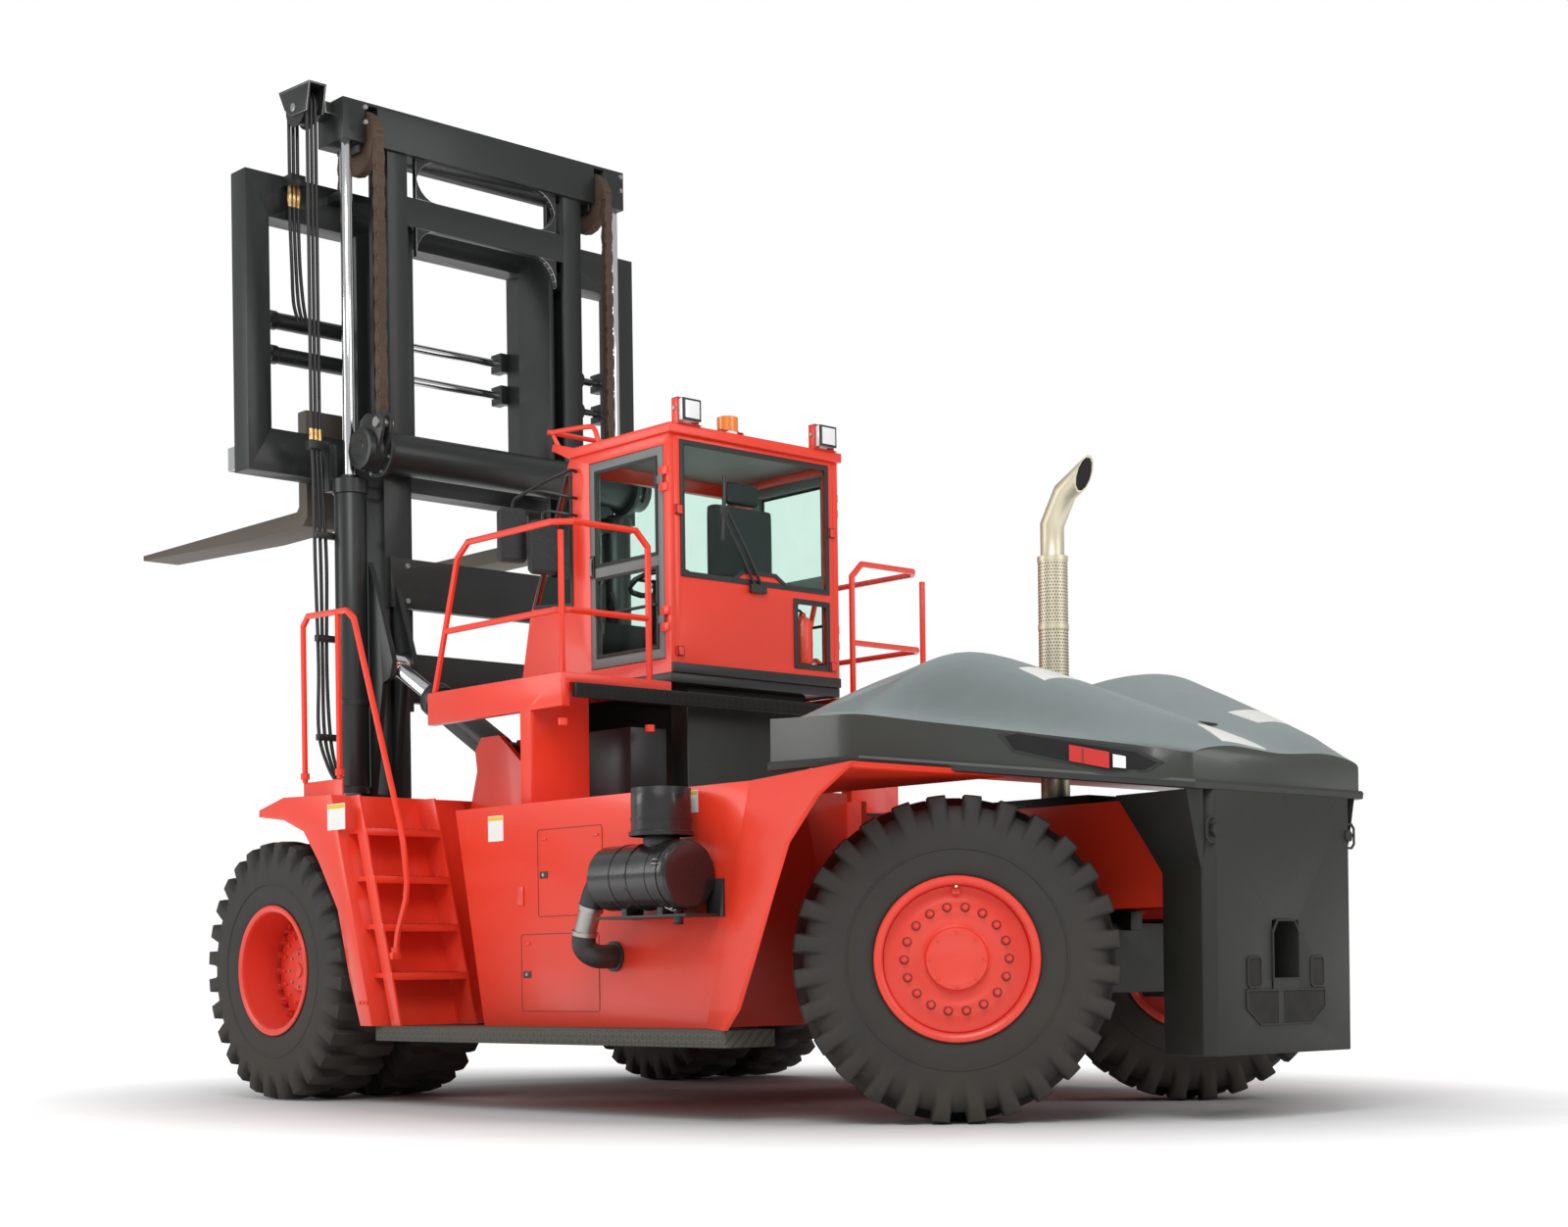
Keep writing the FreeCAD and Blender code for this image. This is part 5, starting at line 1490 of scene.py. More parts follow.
    def inner(self) -> None:
        """Arched gussets, bolts and the hose pulley on the lifted stage."""
        shape = Shape()
        wide, tall = 0.17, 0.20
        steps = [math.radians(15 * i) for i in range(1, 6)]
        for side in (1, -1):
            for z in (6.56, 6.66):
                shape.lathe(at(5.272, side * 1.10, z), (-1, 0, 0), [(0, 0.018), (0.016, 0.017)], STEEL, 6)
            for z0, way in ((6.46, -1), (5.98, -1), (6.18, 1)):
                arc = [(wide - wide * math.cos(a), way * (tall - tall * math.sin(a))) for a in steps]
                gusset = [(0.0, 0.0), (0.0, way * tall), *arc, (wide, 0.0)]
                points = [at(5.41, side * (self.rail_in - y), z0 + z) for y, z in gusset]
                shape.slab(points, (0.04, 0, 0), MAST, 0.003)
        self.pulley_bracket(shape)
        shape.place("inner_mast_fittings", "mast_inner")

    def pulley_bracket(self, shape: Shape) -> None:
        """Two cheeks under a sloping plate, the pulley between them and the hoses over it.

        Args:
            shape: what it is added to.
        """
        x, z = self.pulley_x, self.pulley
        cheek = [(-0.16, -0.06), (-0.20, 0.12), (0.19, 0.14), (0.12, 0.01), (0.04, -0.05)]
        for y in (1.268, 1.392):
            shape.slab([at(x + a, y, z + b) for a, b in cheek], (0, 0.012, 0), MAST, 0.003)
        plate = [(-0.202, 0.12), (0.192, 0.14), (0.192, 0.152), (-0.204, 0.132)]
        shape.slab([at(x + a, 1.268, z + b) for a, b in plate], (0, 0.136, 0), MAST, 0.002)
        shape.block(at(x - 0.18, 1.18, z - 0.05), at(x + 0.02, 1.27, z + 0.03), MAST, 0.006)
        pulley = [(0.0, 0.05), (0.0, 0.125), (0.008, 0.125), (0.014, 0.104), (0.086, 0.104), (0.092, 0.125),
                  (0.10, 0.125), (0.10, 0.05)]
        shape.turned(at(x, 1.29, z), (0, 1, 0), pulley, BLACK, 32)
        shape.lathe(at(x, 1.262, z), (0, 1, 0), [(0.0, 0.03), (0.15, 0.03), (0.155, 0.022)], STEEL, 16)
        bend = [(math.cos(a), math.sin(a)) for a in (math.radians(20 * i) for i in range(10))]
        for y in self.hose_y:
            line = [at(x - self.hose_bend * c, y, z + self.hose_bend * s) for c, s in bend]
            shape.tube(line, self.hose, HOSE, 8)

    def hoses(self) -> None:
        """The straight hose runs on both sides of the pulley, which pass between bodies."""
        steps = 24
        for word, x, z, first in (("rear", self.pulley_x - self.hose_bend, self.anchor, "mast_outer"),
                                  ("front", self.pulley_x + self.hose_bend, 6.27, "carriage")):
            shape = Shape()
            for y in self.hose_y:
                ring = [Vector((self.hose * math.cos(a), self.hose * math.sin(a), 0)) for a in angles(8)]
                heights = [z + (self.pulley - z) * i / steps for i in range(steps + 1)]
                shape.rings([[at(x, y, height) + p for p in ring] for height in heights], HOSE)
            made = shape.place(word + "_hoses", None, None)
            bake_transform(made)

    def carriage(self) -> None:
        """Side-shift rods and cylinders, caps and hose ends on the carriage."""
        shape = Shape()
        x = self.pulley_x + self.hose_bend
        shape.blocks(MAST, 0.004, (5730, 1285, 6200, 5870, 1400, 6270))
        coupling = [(0.0, 0.0142), (0.03, 0.016), (0.035, 0.019), (0.085, 0.019), (0.09, 0.016), (0.14, 0.0142)]
        for i, y in enumerate(self.hose_y):
            shape.lathe(at(x, y, 6.06), (0, 0, 1), coupling, BRASS, 8)
            line = [at(x, y, 6.21), at(x, y, 5.95), at(5.80, y - 0.01, 5.65), at(5.83 + 0.01 * i, y - 0.05, 5.42),
                    at(5.87, y - 0.10, 5.30)]
            shape.tube(line, self.hose, HOSE, 8)
        cylinder = [(0.62, 0.04), (0.63, 0.058), (1.30, 0.058), (1.31, 0.066), (1.36, 0.066), (1.365, 0.05)]
        for side in (1, -1):
            out = (0, side, 0)
            for z in (5.36, 5.12):
                line = at(6.125, 0, z)
                shape.lathe(line, out, [(0.0, 0.032), (1.60, 0.032)], CHROME, 20)
                shape.lathe(line, out, cylinder, MAST, 28)
                for y in (0.56, 1.50):
                    shape.block(at(6.045, side * y, z - 0.07), at(6.175, side * (y + 0.08), z + 0.07), MAST, 0.008)
            for y in (0.86, 1.44):
                shape.lathe(at(6.19, side * y, 6.16), out, [(0, 0.05), (0.05, 0.05), (0.056, 0.042)], HOOK, 24)
        shape.place("carriage_fittings", "carriage")


@dataclass
class Cab:
    """Seals, wiper, lamps, door fittings, mirrors and inside of the cab.

    Args:
        rear_x: the rear wall's outer face in millimetres.
        half: half the cab's width.
        window: the rear window's corners, across and up.
        small: the corners of the small window under it.
    """

    rear_x: float = 2590.0
    half: float = 705.0
    window: Outline = ((-600, 3210), (600, 3210), (600, 4000), (-600, 4000))
    small: Outline = ((-600, 2720), (-330, 2720), (-330, 3120), (-600, 3120))

    def gasket(self, shape: Shape, points: Sequence[Point], normal: Point, width: float = 0.016) -> None:
        """A rubber seal round a window.

        Args:
            shape: what it is added to.
            points: the window's corners.
            normal: the direction that it faces.
            width: how wide it is.
        """
        section = [(-width, 0.0), (width * 0.55, 0.0), (width * 0.55, 0.006), (width * 0.2, 0.0085),
                   (-width * 0.6, 0.0085), (-width, 0.005)]
        shape.sweep(points, section, normal, HOSE, close=True)

    def build(self) -> None:
        """Makes the cab's pieces."""
        self.seals()
        self.wiper()
        self.lamps()
        for side, body in ((1, "door_left"), (-1, "door_right")):
            self.door(side, body)
        self.inside()
        self.skirt()
        self.mirrors()
        self.roof_rail()

    def seals(self) -> None:
        """Rubber seals with rounded corners, and the step in the rear window's lower edge."""
        shape = Shape()
        for outline in (self.window, self.small):
            self.gasket(shape, [mm(self.rear_x, y, z) for y, z in outline], (-1, 0, 0), 0.022)
            for (y, z), (dy, dz) in zip(outline, ((1, 1), (-1, 1), (-1, -1), (1, -1))):
                corner = [(0, 0), (62, 0), (30, 10), (10, 30), (0, 62)]
                points = [mm(self.rear_x + 2, y + dy * a, z + dz * b) for a, b in corner]
                shape.slab(points, (0.006, 0, 0), HOSE)
        step = [(-250, 3196), (-150, 3258), (115, 3258), (210, 3196)]
        shape.slab([mm(self.rear_x - 4, y, z) for y, z in step], (0.012, 0, 0), RED, 0.002)
        strip = [(-0.012, 0.0), (0.012, 0.0), (0.012, 0.007), (-0.012, 0.007)]
        shape.sweep([mm(self.rear_x - 4, y, z + 8) for y, z in step], strip, (-1, 0, 0), HOSE)
        quarter = [(3560, 3120), (3965, 3150), (3610, 3960), (3560, 3960)]
        for side in (1, -1):
            points = [mm(x, side * self.half, z) for x, z in quarter]
            self.gasket(shape, facing(points, side), (0, side, 0))
        shape.place("window_seals", "chassis")

    def mirrors(self) -> None:
        """Two mirrors on bent arms from the left front post."""
        shape = Shape()
        for radius, line in (
                (0.011, ((3505, self.half, 3960), (3510, 765, 3958), (3600, 880, 3890), (3740, 955, 3820),
                         (3805, 975, 3790), (3812, 985, 3735))),
                (0.010, ((3505, self.half, 3790), (3512, 765, 3795), (3620, 880, 3830), (3700, 935, 3838))),
                (0.009, ((3505, self.half, 3680), (3512, 765, 3684), (3600, 850, 3705), (3640, 872, 3690),
                         (3642, 872, 3640)))):
            shape.tube([mm(*p) for p in line], radius, BLACK, 10)
        section = [(-26, -88), (20, -96), (40, -55), (46, 0), (40, 55), (20, 96), (-26, 88), (-32, 80), (-32, -80)]
        for x, y, low, high in ((3812, 985, 3395, 3740), (3642, 872, 3310, 3650)):
            turn = Matrix.Translation(mm(x, y, 0)) @ Matrix.Rotation(math.radians(-20), 4, "Z")
            stages = ((low, 0.72), (low + 12, 0.9), (low + 30, 1.0), (high - 30, 1.0), (high - 12, 0.9), (high, 0.72))
            shape.rings([[turn @ (Vector((a * grow, b * grow, z)) / 1000) for a, b in section] for z, grow in stages],
                        PLASTIC)
            mirror = ((-74, low + 22), (74, low + 22), (74, high - 22), (-74, high - 22))
            corners = [turn @ (Vector((-32.5, b, c)) / 1000) for b, c in mirror]
            shape.slab(corners, turn.to_3x3() @ Vector((-0.002, 0, 0)), GLOSS)
        shape.place("left_mirrors", "chassis", 35)

    def roof_rail(self) -> None:
        """A bent rail over the windscreen and its stays."""
        shape = Shape()
        y = self.half - 25
        half = [(3300, y, 4100), (3345, y, 4205), (3420, y, 4232), (3760, y, 4258), (3800, y - 40, 4262)]
        line = [mm(*p) for p in half] + [mm(3802, 0, 4262)] + [mm(x, -a, z) for x, a, z in half[::-1]]
        shape.tube(line, 0.016, RED, 12)
        stay = ((3690, 4150), (3735, 4150), (3800, 4262), (3775, 4262))
        for middle in (-y, -240, 240, y):
            shape.slab([mm(x, middle - 5, z) for x, z in stay], (0, 0.010, 0), RED, 0.002)
        shape.place("roof_rail", "chassis", 35)

    def wiper(self) -> None:
        """A two-armed wiper parked across the rear window."""
        shape = Shape()
        x = self.rear_x - 14
        shape.blocks(PLASTIC, 0.006, (self.rear_x - 30, -60, 3140, self.rear_x, 70, 3195))
        for y0, z0, y1, z1 in ((-30, 3170, 260, 3640), (30, 3170, 300, 3600)):
            arm = [mm(x - 8, y0, z0), mm(x - 12, (y0 + y1) / 2, (z0 + z1) / 2), mm(x, y1, z1)]
            shape.tube(arm, 0.0095, BLACK, 8)
        shape.tube([mm(x + 2, 270, 3840), mm(x - 3, 282, 3640), mm(x + 2, 292, 3440)], 0.013, HOSE, 6)
        shape.blocks(BLACK, 0.004, (x - 14, 255, 3590, x + 2, 315, 3650))
        shape.place("rear_wiper", "chassis")

    def lamps(self) -> None:
        """Glass, rims and yokes of the work lamps, and the beacon's dome."""
        shape = Shape()
        for y in (570, -570):
            shape.blocks(PLASTIC, 0.006, (2523, y - 72, 4128, 2533, y + 72, 4262))
            shape.blocks(LENS_WHITE, 0.008, (2519, y - 58, 4140, 2526, y + 58, 4250))
            for way in (-1, 1):
                shape.blocks(RED, 0.002, (2560, y + way * 76, 4112, 2620, y + way * 84, 4268))
                shape.lathe(mm(2590, y + way * 84, 4205), (0, way, 0), [(0, 0.014), (0.010, 0.012)], STEEL, 6)
            shape.blocks(RED, 0.002, (2560, y - 84, 4262, 2620, y + 84, 4270), (2540, y - 90, 4108, 2640, y + 90, 4114))
            shape.blocks(PLASTIC, 0.001, *((2608, y - 62, z, 2618, y + 62, z + 7) for z in range(4150, 4250, 20)))
        shape.blocks(RED, 0.002, (2800, -84, 4108, 2900, -92, 4196), (2800, 84, 4108, 2900, 92, 4196),
                     (2800, -92, 4188, 2900, 92, 4196))
        dome = [(0.086, 0.070), (0.094, 0.070), (0.096, 0.067), (0.14, 0.0672), (0.175, 0.0672), (0.178, 0.062),
                (0.180, 0.045), (0.1815, 0.012)]
        shape.lathe(mm(2850, 0, 4110), (0, 0, 1), dome, LENS_AMBER, 32)
        shape.place("roof_lamps", "chassis", 35)

    def door(self, side: int, body: str) -> None:
        """Seals, handle and bars of a door.

        Args:
            side: 1 for the left, -1 for the right.
            body: the body that it rides on.
        """
        shape = Shape()

        def bar(line: Sequence[tuple[float, float, float]], radius: float, finish: Finish) -> None:
            """A bar on the door, from places along, out from the panel and up.

            Args:
                line: its places.
                radius: its radius.
                finish: its finish.
            """
            shape.tube([mm(x, side * (self.half + out), z) for x, out, z in line], radius, finish, 8)

        for x0, x1, z0, z1 in ((2710, 3310, 3330, 3920), (2710, 3310, 2760, 3250)):
            points = [mm(x, side * self.half, z) for x, z in ((x0, z0), (x1, z0), (x1, z1), (x0, z1))]
            self.gasket(shape, facing(points, side), (0, side, 0), 0.013)
        shape.blocks(BLACK, 0.005, (3322, side * self.half, 3260, 3364, side * (self.half + 14), 3400))
        bar([(3343, 6, 3385), (3343, 20, 3370), (3343, 20, 3290), (3343, 6, 3275)], 0.008, STEEL)
        bar([(2730, 4, 3020), (2760, 17, 3020), (3260, 17, 3020), (3290, 4, 3020)], 0.010, BLACK)
        shape.place(body + "_fittings", body)

    def inside(self) -> None:
        """A padded seat on its base, an extinguisher and the levers."""
        base = Shape()
        base.blocks(BLACK, 0.01, (2790, -210, 2640, 3150, 210, 2900))
        base.blocks(HOSE, 0.003, *((2784, -216, z, 3156, 216, z + 9) for z in range(2900, 2978, 13)))
        base.blocks(BLACK, 0.005, (2790, -225, 2975, 3170, 225, 2992))
        base.place("seat_base", "chassis")
        seat = Shape()
        for ease, corners in ((0.045, (2790, -255, 2990, 3290, 255, 3118)), (0.04, (2700, -245, 3130, 2800, 245, 3700)),
                              (0.03, (2700, -130, 3712, 2780, 130, 3850)), (0.02, (2880, -320, 3215, 3180, -262, 3260)),
                              (0.02, (2880, 262, 3215, 3180, 320, 3260))):
            seat.blocks(CLOTH, ease, corners)
        cushions = seat.place("seat_cushions", "chassis", 60)
        soften = cushions.modifiers.new("soften", "SUBSURF")
        soften.levels = soften.render_levels = 2
        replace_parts(cushions, "seat")
        bits = Shape()
        bottle = [(0.0, 0.058), (0.02, 0.065), (0.26, 0.065), (0.29, 0.05), (0.305, 0.025), (0.33, 0.02)]
        bits.lathe(mm(2668, -455, 2740), (0, 0, 1), bottle, RED, 24)
        spout = [mm(2668, -455, 3068), mm(2672, -420, 3085), mm(2680, -380, 3040), mm(2680, -380, 2900)]
        bits.tube(spout, 0.009, HOSE, 8)
        bits.blocks(BLACK, 0.003, (2650, -530, 2860, 2672, -380, 2900))
        for y in (-360, -400):
            bits.tube([mm(3080, y, 3000), mm(3090, y, 3180), mm(3100, y, 3250)], 0.008, BLACK, 8)
            knob = [(0.0, 0.012), (0.015, 0.02), (0.04, 0.02), (0.05, 0.01)]
            bits.lathe(mm(3100, y, 3250), (0.1, 0, 1), knob, PLASTIC, 12)
        bits.blocks(BLACK, 0.012, (2990, -430, 2640, 3190, -320, 3010))
        bits.blocks(LINING, 0.006, (2636, -655, 4036, 3640, 655, 4049))
        bits.place("cab_controls", "chassis")

    def skirt(self) -> None:
        """The black band and perforated strip under the cab, and the catches on its wall."""
        shape = Shape()
        x = self.rear_x
        shape.blocks(BLACK, 0.004, (x - 16, -self.half, 2600, x, self.half, 2660))
        shape.blocks(MAST, 0.004, (x - 45, -1470, 2395, x - 6, 1470, 2480))
        upright = Matrix.Rotation(math.radians(90), 4, "Z") @ Matrix.Rotation(math.radians(90), 4, "X")
        # The strip's holes are near-black discs: painted shade where the holes are.
        holes = stud_grid("strip_holes", 58, 2, (0.05, 0.034), 0.010, 0.004, SOOT_AND_SHADE)
        shape.add(holes, SOOT_AND_SHADE, Matrix.Translation(mm(x - 46, 0, 2437)) @ upright)
        shape.blocks(RED, 0.005, *((x - 22, y - 24, z, x, y + 24, z + 60) for y in (-640, 640) for z in (2700, 3560)))
        shape.place("cab_skirt", "chassis")


@dataclass
class Body:
    """Labels, hatches, latches, tread plates and clamps on the truck's sides.

    Args:
        half: half the width over the side bodies in millimetres.
        fender_half: half the width over the front fenders in millimetres.
    """

    half: float = 1720.0
    fender_half: float = 2115.0

    def build(self) -> None:
        """Makes the pieces of both sides."""
        shape = Shape()
        for side in (1, -1):
            self.panel(shape, side)
            self.fender(shape, side)
        shape.place("side_fittings", "chassis")
        self.stairs()
        self.clamps()

    def panel(self, shape: Shape, side: int) -> None:
        """Hatch outlines, latches, a switch box and blank labels on a side panel.

        Args:
            shape: what it is added to.
            side: 1 for the left, -1 for the right.
        """
        y = side * self.half
        out = (0, side, 0)
        groove = [(-0.0022, 0.0), (0.0022, 0.0), (0.0022, 0.002), (-0.0022, 0.002)]
        for x0, x1, z0, z1 in ((2000, 2600, 1110, 1610), (2040, 2770, 565, 1010)):
            corners = [(x0 + 12, z0), (x1 - 12, z0), (x1, z0 + 12), (x1, z1 - 12), (x1 - 12, z1), (x0 + 12, z1),
                       (x0, z1 - 12), (x0, z0 + 12)]
            shape.sweep(facing([mm(x, y, z) for x, z in corners], side), groove, out, DARK_RED, close=True)
            hinges = ((x - 26, y, z1 - 60, x + 26, y + side * 5, z1 - 48) for x in (x0 + 60, x1 - 60))
            shape.blocks(RED, 0.001, *hinges)
            z = (z0 + z1) / 2
            shape.blocks(PLASTIC, 0.001, (x1 - 90, y, z - 30, x1 - 20, y + side * 4, z + 10))
            shape.lathe(mm(x1 - 55, y, z - 10), out, [(0.0, 0.012), (0.007, 0.012), (0.009, 0.009)], STEEL, 16)
        shape.blocks(RED, 0.001, (2740, y, 1180, 2800, y + side * 6, 1290))
        self.label(shape, mm(3010, y, 1640), side, 0.15, 0.15)
        self.label(shape, mm(1240, y, 1690), side, 0.14, 0.12)

    def label(self, shape: Shape, middle: Vector, side: int, width: float, height: float) -> None:
        """A blank plate with a plain coloured strip along its top.

        Args:
            shape: what it is added to.
            middle: the plate's middle.
            side: 1 for the left, -1 for the right.
            width: how wide it is.
            height: how tall it is.
        """
        r, u, o = Vector((width / 2, 0, 0)), Vector((0, 0, height / 2)), Vector((0, side * 0.0012, 0))
        shape.slab([middle - r - u, middle + r - u, middle + r + u, middle - r + u], o, LABEL)
        low, high = middle + u * 0.62 + o, middle + u * 0.94 + o
        shape.slab([low - r * 0.96, low + r * 0.96, high + r * 0.96, high - r * 0.96], o * 0.4, YELLOW)

    def fender(self, shape: Shape, side: int) -> None:
        """A blank label and edge bolts on the front fender.

        Args:
            shape: what it is added to.
            side: 1 for the left, -1 for the right.
        """
        y = side * self.fender_half
        self.label(shape, mm(4120, y, 1760), side, 0.20, 0.16)
        for x in (3800, 3840, 3880):
            shape.lathe(mm(x, y, 620), (0, side, 0), [(0, 0.012), (0.01, 0.011)], RED, 6)

    def stairs(self) -> None:
        """Studs on the treads."""
        shape = Shape()
        (foot_x, foot_z), (head_x, head_z) = (3755, 480), (4178, 1899)
        slope = (head_x - foot_x) / (head_z - foot_z)
        for side in (1, -1):
            for z in range(800, 1686, 295):
                middle = mm(3652 + (z - foot_z) * slope, side * 1760, z + 2)
                studs = stud_grid("tread_studs", 4, 11, (0.044, 0.044), 0.011, 0.006, DARK_RED)
                shape.add(studs, DARK_RED, Matrix.Translation(middle))
        shape.place("stair_studs", "chassis")

    def clamps(self) -> None:
        """Split clamps that hold the handrails."""
        shape = Shape()
        for side in (1, -1):
            for x, y, z, radius in ((4275, 1990, 2050, 0.028), (4680, 1990, 2050, 0.028), (3676, 1990, 930, 0.028),
                                    (2620, 1510, 2250, 0.029), (2620, 855, 2250, 0.029)):
                shape.band(mm(x, side * y, z), (0, 0, 1), (-0.02, 0.02), (0.0205, radius), RED, 20)
        shape.place("rail_clamps", "chassis")


@dataclass
class AirCleaner:
    """Smooth shells, bands, latches and clamps of the air cleaner, and its intake pipe.

    Args:
        y: the cleaner's place across the truck in millimetres.
        z: the height of its middle in millimetres.
        duct_top: where the straight part of the pipe starts, along the truck in millimetres.
        duct_low: where it ends.
    """

    y: float = 1910.0
    z: float = 1290.0
    duct_top: float = 1868
    duct_low: float = 1930

    def build(self) -> None:
        """Makes the cleaner's round forms; the carried-over solid keeps the bracket."""
        shape = Shape()
        self.drum(shape)
        self.bowl(shape)
        shape.place("cleaner_shells", "chassis", 32)
        self.pipe()

    def drum(self, shape: Shape) -> None:
        """The lying drum, its bands and the latches of its lid.

        Args:
            shape: what it is added to.
        """
        along = (1, 0, 0)
        lid = mm(1020, self.y, self.z)
        drum = [(0.0, 0.10), (0.002, 0.165), (0.010, 0.178), (0.018, 0.1825), (0.058, 0.1825), (0.062, 0.1775),
                (0.32, 0.1762), (0.322, 0.181), (0.345, 0.181), (0.347, 0.1762), (0.648, 0.1762), (0.655, 0.17),
                (0.6562, 0.12)]
        shape.lathe(lid, along, drum, GLOSS, 56)
        shape.band(lid, along, (0.062, 0.078), (0.177, 0.187), GLOSS)
        for x in (1200, 1500):
            shape.band(mm(x, self.y, self.z), along, (-0.016, 0.016), (0.1755, 0.1795), GLOSS)
        for a in (math.radians(degrees) for degrees in (20, 110, 200, 290)):
            out, across = Vector((0, math.cos(a), math.sin(a))), Vector((0, -math.sin(a), math.cos(a)))
            latch = [mm(x, self.y, self.z) + out * reach for x, reach in ((1072, 0.190), (1100, 0.196), (1135, 0.184))]
            for shift in (-0.012, 0.012):
                shape.tube([p + across * shift for p in latch], 0.0035, STEEL, 6)

    def bowl(self, shape: Shape) -> None:
        """The upright bowl on the drum, its neck, the pipe's clamp and the dust valve.

        Args:
            shape: what it is added to.
        """
        up = (0, 0, 1)
        foot = mm(1250, self.y, 1500)
        bowl = [(0.0, 0.165), (0.003, 0.1745), (0.022, 0.1745), (0.026, 0.166), (0.030, 0.1615), (0.16, 0.1612),
                (0.21, 0.160), (0.238, 0.152), (0.252, 0.136), (0.2575, 0.11), (0.2585, 0.03)]
        shape.lathe(foot, up, bowl, GLOSS, 56)
        shape.band(foot, up, (0.085, 0.098), (0.160, 0.1655), GLOSS)
        neck = [(0.10, 0.093), (0.12, 0.098), (0.14, 0.098), (0.15, 0.092)]
        shape.lathe(mm(1250, self.y, 1350), up, neck, HOSE, 32)
        shape.band(mm(1684, self.y, self.z - 2), (1, 0, -0.1), (-0.008, 0.012), (0.0705, 0.077), STEEL, 32)
        valve = [(0.0, 0.030), (0.012, 0.020), (0.05, 0.024), (0.09, 0.027)]
        shape.lathe(mm(1118, self.y, 1032), up, valve, HOSE, 16)

    def pipe(self) -> None:
        """Two rubber elbows with a steel duct between them, which stand for the intake pipe."""
        pipe = Shape()
        rubber = 0.0665
        line = [(1684, 1910, 1290), (1762, 1910, 1284), (1830, 1910, 1216), (self.duct_top, 1910, 1130)]
        upper = smooth_path([mm(*p) for p in line], steps=6)
        pipe.tube(upper, rubber, HOSE, 28)
        pipe.tube([mm(self.duct_top, 1910, 1130), mm(self.duct_low, 1905, 1000)], 0.062, STEEL, 28)
        line = [(self.duct_low, 1905, 1010), (1945, 1895, 925), (1915, 1840, 875), (1900, 1722, 872)]
        lower = smooth_path([mm(*p) for p in line], steps=6)
        pipe.tube(lower, rubber, HOSE, 28)
        flange = [(0.0, 0.066), (0.0, 0.085), (0.010, 0.085), (0.012, 0.066)]
        pipe.turned(mm(1900, 1722, 872), (0, 1, 0), flange, HOSE, 32)
        for place, way in ((upper[-2], upper[-1] - upper[-3]), (lower[1], lower[2] - lower[0])):
            pipe.band(place, way, (-0.012, 0.012), (0.066, 0.0715), STEEL, 32)
        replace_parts(pipe.place("intake_elbows", "chassis", 35), "air_intake_pipe")


@dataclass
class Exhaust:
    """The perforated shield round the stack, its collars and the dark inside of the outlet.

    Args:
        x: the stack's place along the truck in millimetres.
        y: its place across the truck in millimetres.
    """

    x: float = 180.0
    y: float = -30.0

    def build(self) -> None:
        """Makes the shield with its rows of holes."""
        shape = Shape()
        foot, up = mm(self.x, self.y, 0), (0, 0, 1)
        shape.lathe(foot, up, [(2.3, 0.0815), (3.04, 0.0815)], STAINLESS, 56)
        for z in (3.036, 2.66):
            collar = [(z - 0.02, 0.080), (z - 0.02, 0.0855), (z + 0.008, 0.0855), (z + 0.008, 0.066)]
            shape.turned(foot, up, collar, STAINLESS)
        # The holes are near-black discs of painted shade.
        shape.add(self.holes(), SOOT_AND_SHADE, Matrix.Translation(mm(self.x, self.y, 2318)))
        self.mouth(shape)
        shape.place("exhaust_shield", "chassis", 35)

    def holes(self) -> bpy.types.Mesh:
        """Staggered rows of near-black discs round the shield: painted shade that stands for its holes.

        Returns:
            The holes' mesh.
        """
        tree = NodeTree("shield_holes", [("Around", "Int", 30), ("Rows", "Int", 20), ("Size", "Float", 0.0042)])
        ring = tree.shape("MeshCircle", Vertices="@Around", Radius=0.0816)
        hole = tree.shape("MeshCylinder", Vertices=7, Radius="@Size", Depth=0.0012)
        flat = tree.shape("Transform", Geometry=hole, Rotation=(0, math.radians(90), 0))
        line = tree.shape("MeshLine", Count="@Rows", Offset=(0, 0, 0.035))
        outward = tree.node("FunctionNodeAlignEulerToVector", axis="X")
        tree.fill(outward.inputs["Vector"], tree.node("GeometryNodeInputPosition").outputs[0])
        row = tree.repeat(ring, flat, outward.outputs[0])
        between = tree.shape("Transform", Geometry=row, Rotation=(0, 0, math.radians(6)), Translation=(0, 0, 0.0175))
        return tree.mesh(tree.repeat(line, tree.together(row, between)), SOOT_AND_SHADE)

    def mouth(self, shape: Shape) -> None:
        """The inside of the outlet, a little behind its slanted rim, near-black as real soot and as painted shade.

        Args:
            shape: what it is added to.
        """
        start, corner = mm(self.x - 120, self.y, 3399), mm(self.x - 170, self.y, 3300)
        way, over = Vector((-0.866, 0.0, 0.5)), Vector((0.5, 0, 0.866))
        rim = Vector((0.928, 0, 0.371))
        radius = 0.0572
        low, high = [], []
        for a in angles(32):
            point = start + Vector((0, radius * math.cos(a), 0)) + over * (radius * math.sin(a))
            reach = (corner - point).dot(rim) / way.dot(rim)
            low.append(point + way * 0.004)
            high.append(point + way * max(0.006, reach - 0.006))
        shape.rings([low, high], SOOT_AND_SHADE)


class Surface:
    """Finds where a line meets a finished piece."""

    def __init__(self, piece: bpy.types.Object) -> None:
        """Reads the piece's faces.

        Args:
            piece: a piece whose mesh is in the frame's coordinates.
        """
        data = piece.data
        self.tree = BVHTree.FromPolygons([v.co[:] for v in data.vertices], [p.vertices[:] for p in data.polygons])

    def meet(self, start: Vector, way: Point) -> Vector:
        """The first point that a line meets.

        Args:
            start: where the line starts.
            way: its direction.

        Returns:
            The point met, or the start where nothing is met.
        """
        hit = self.tree.ray_cast(start, Vector(way))[0]
        return start if hit is None else hit


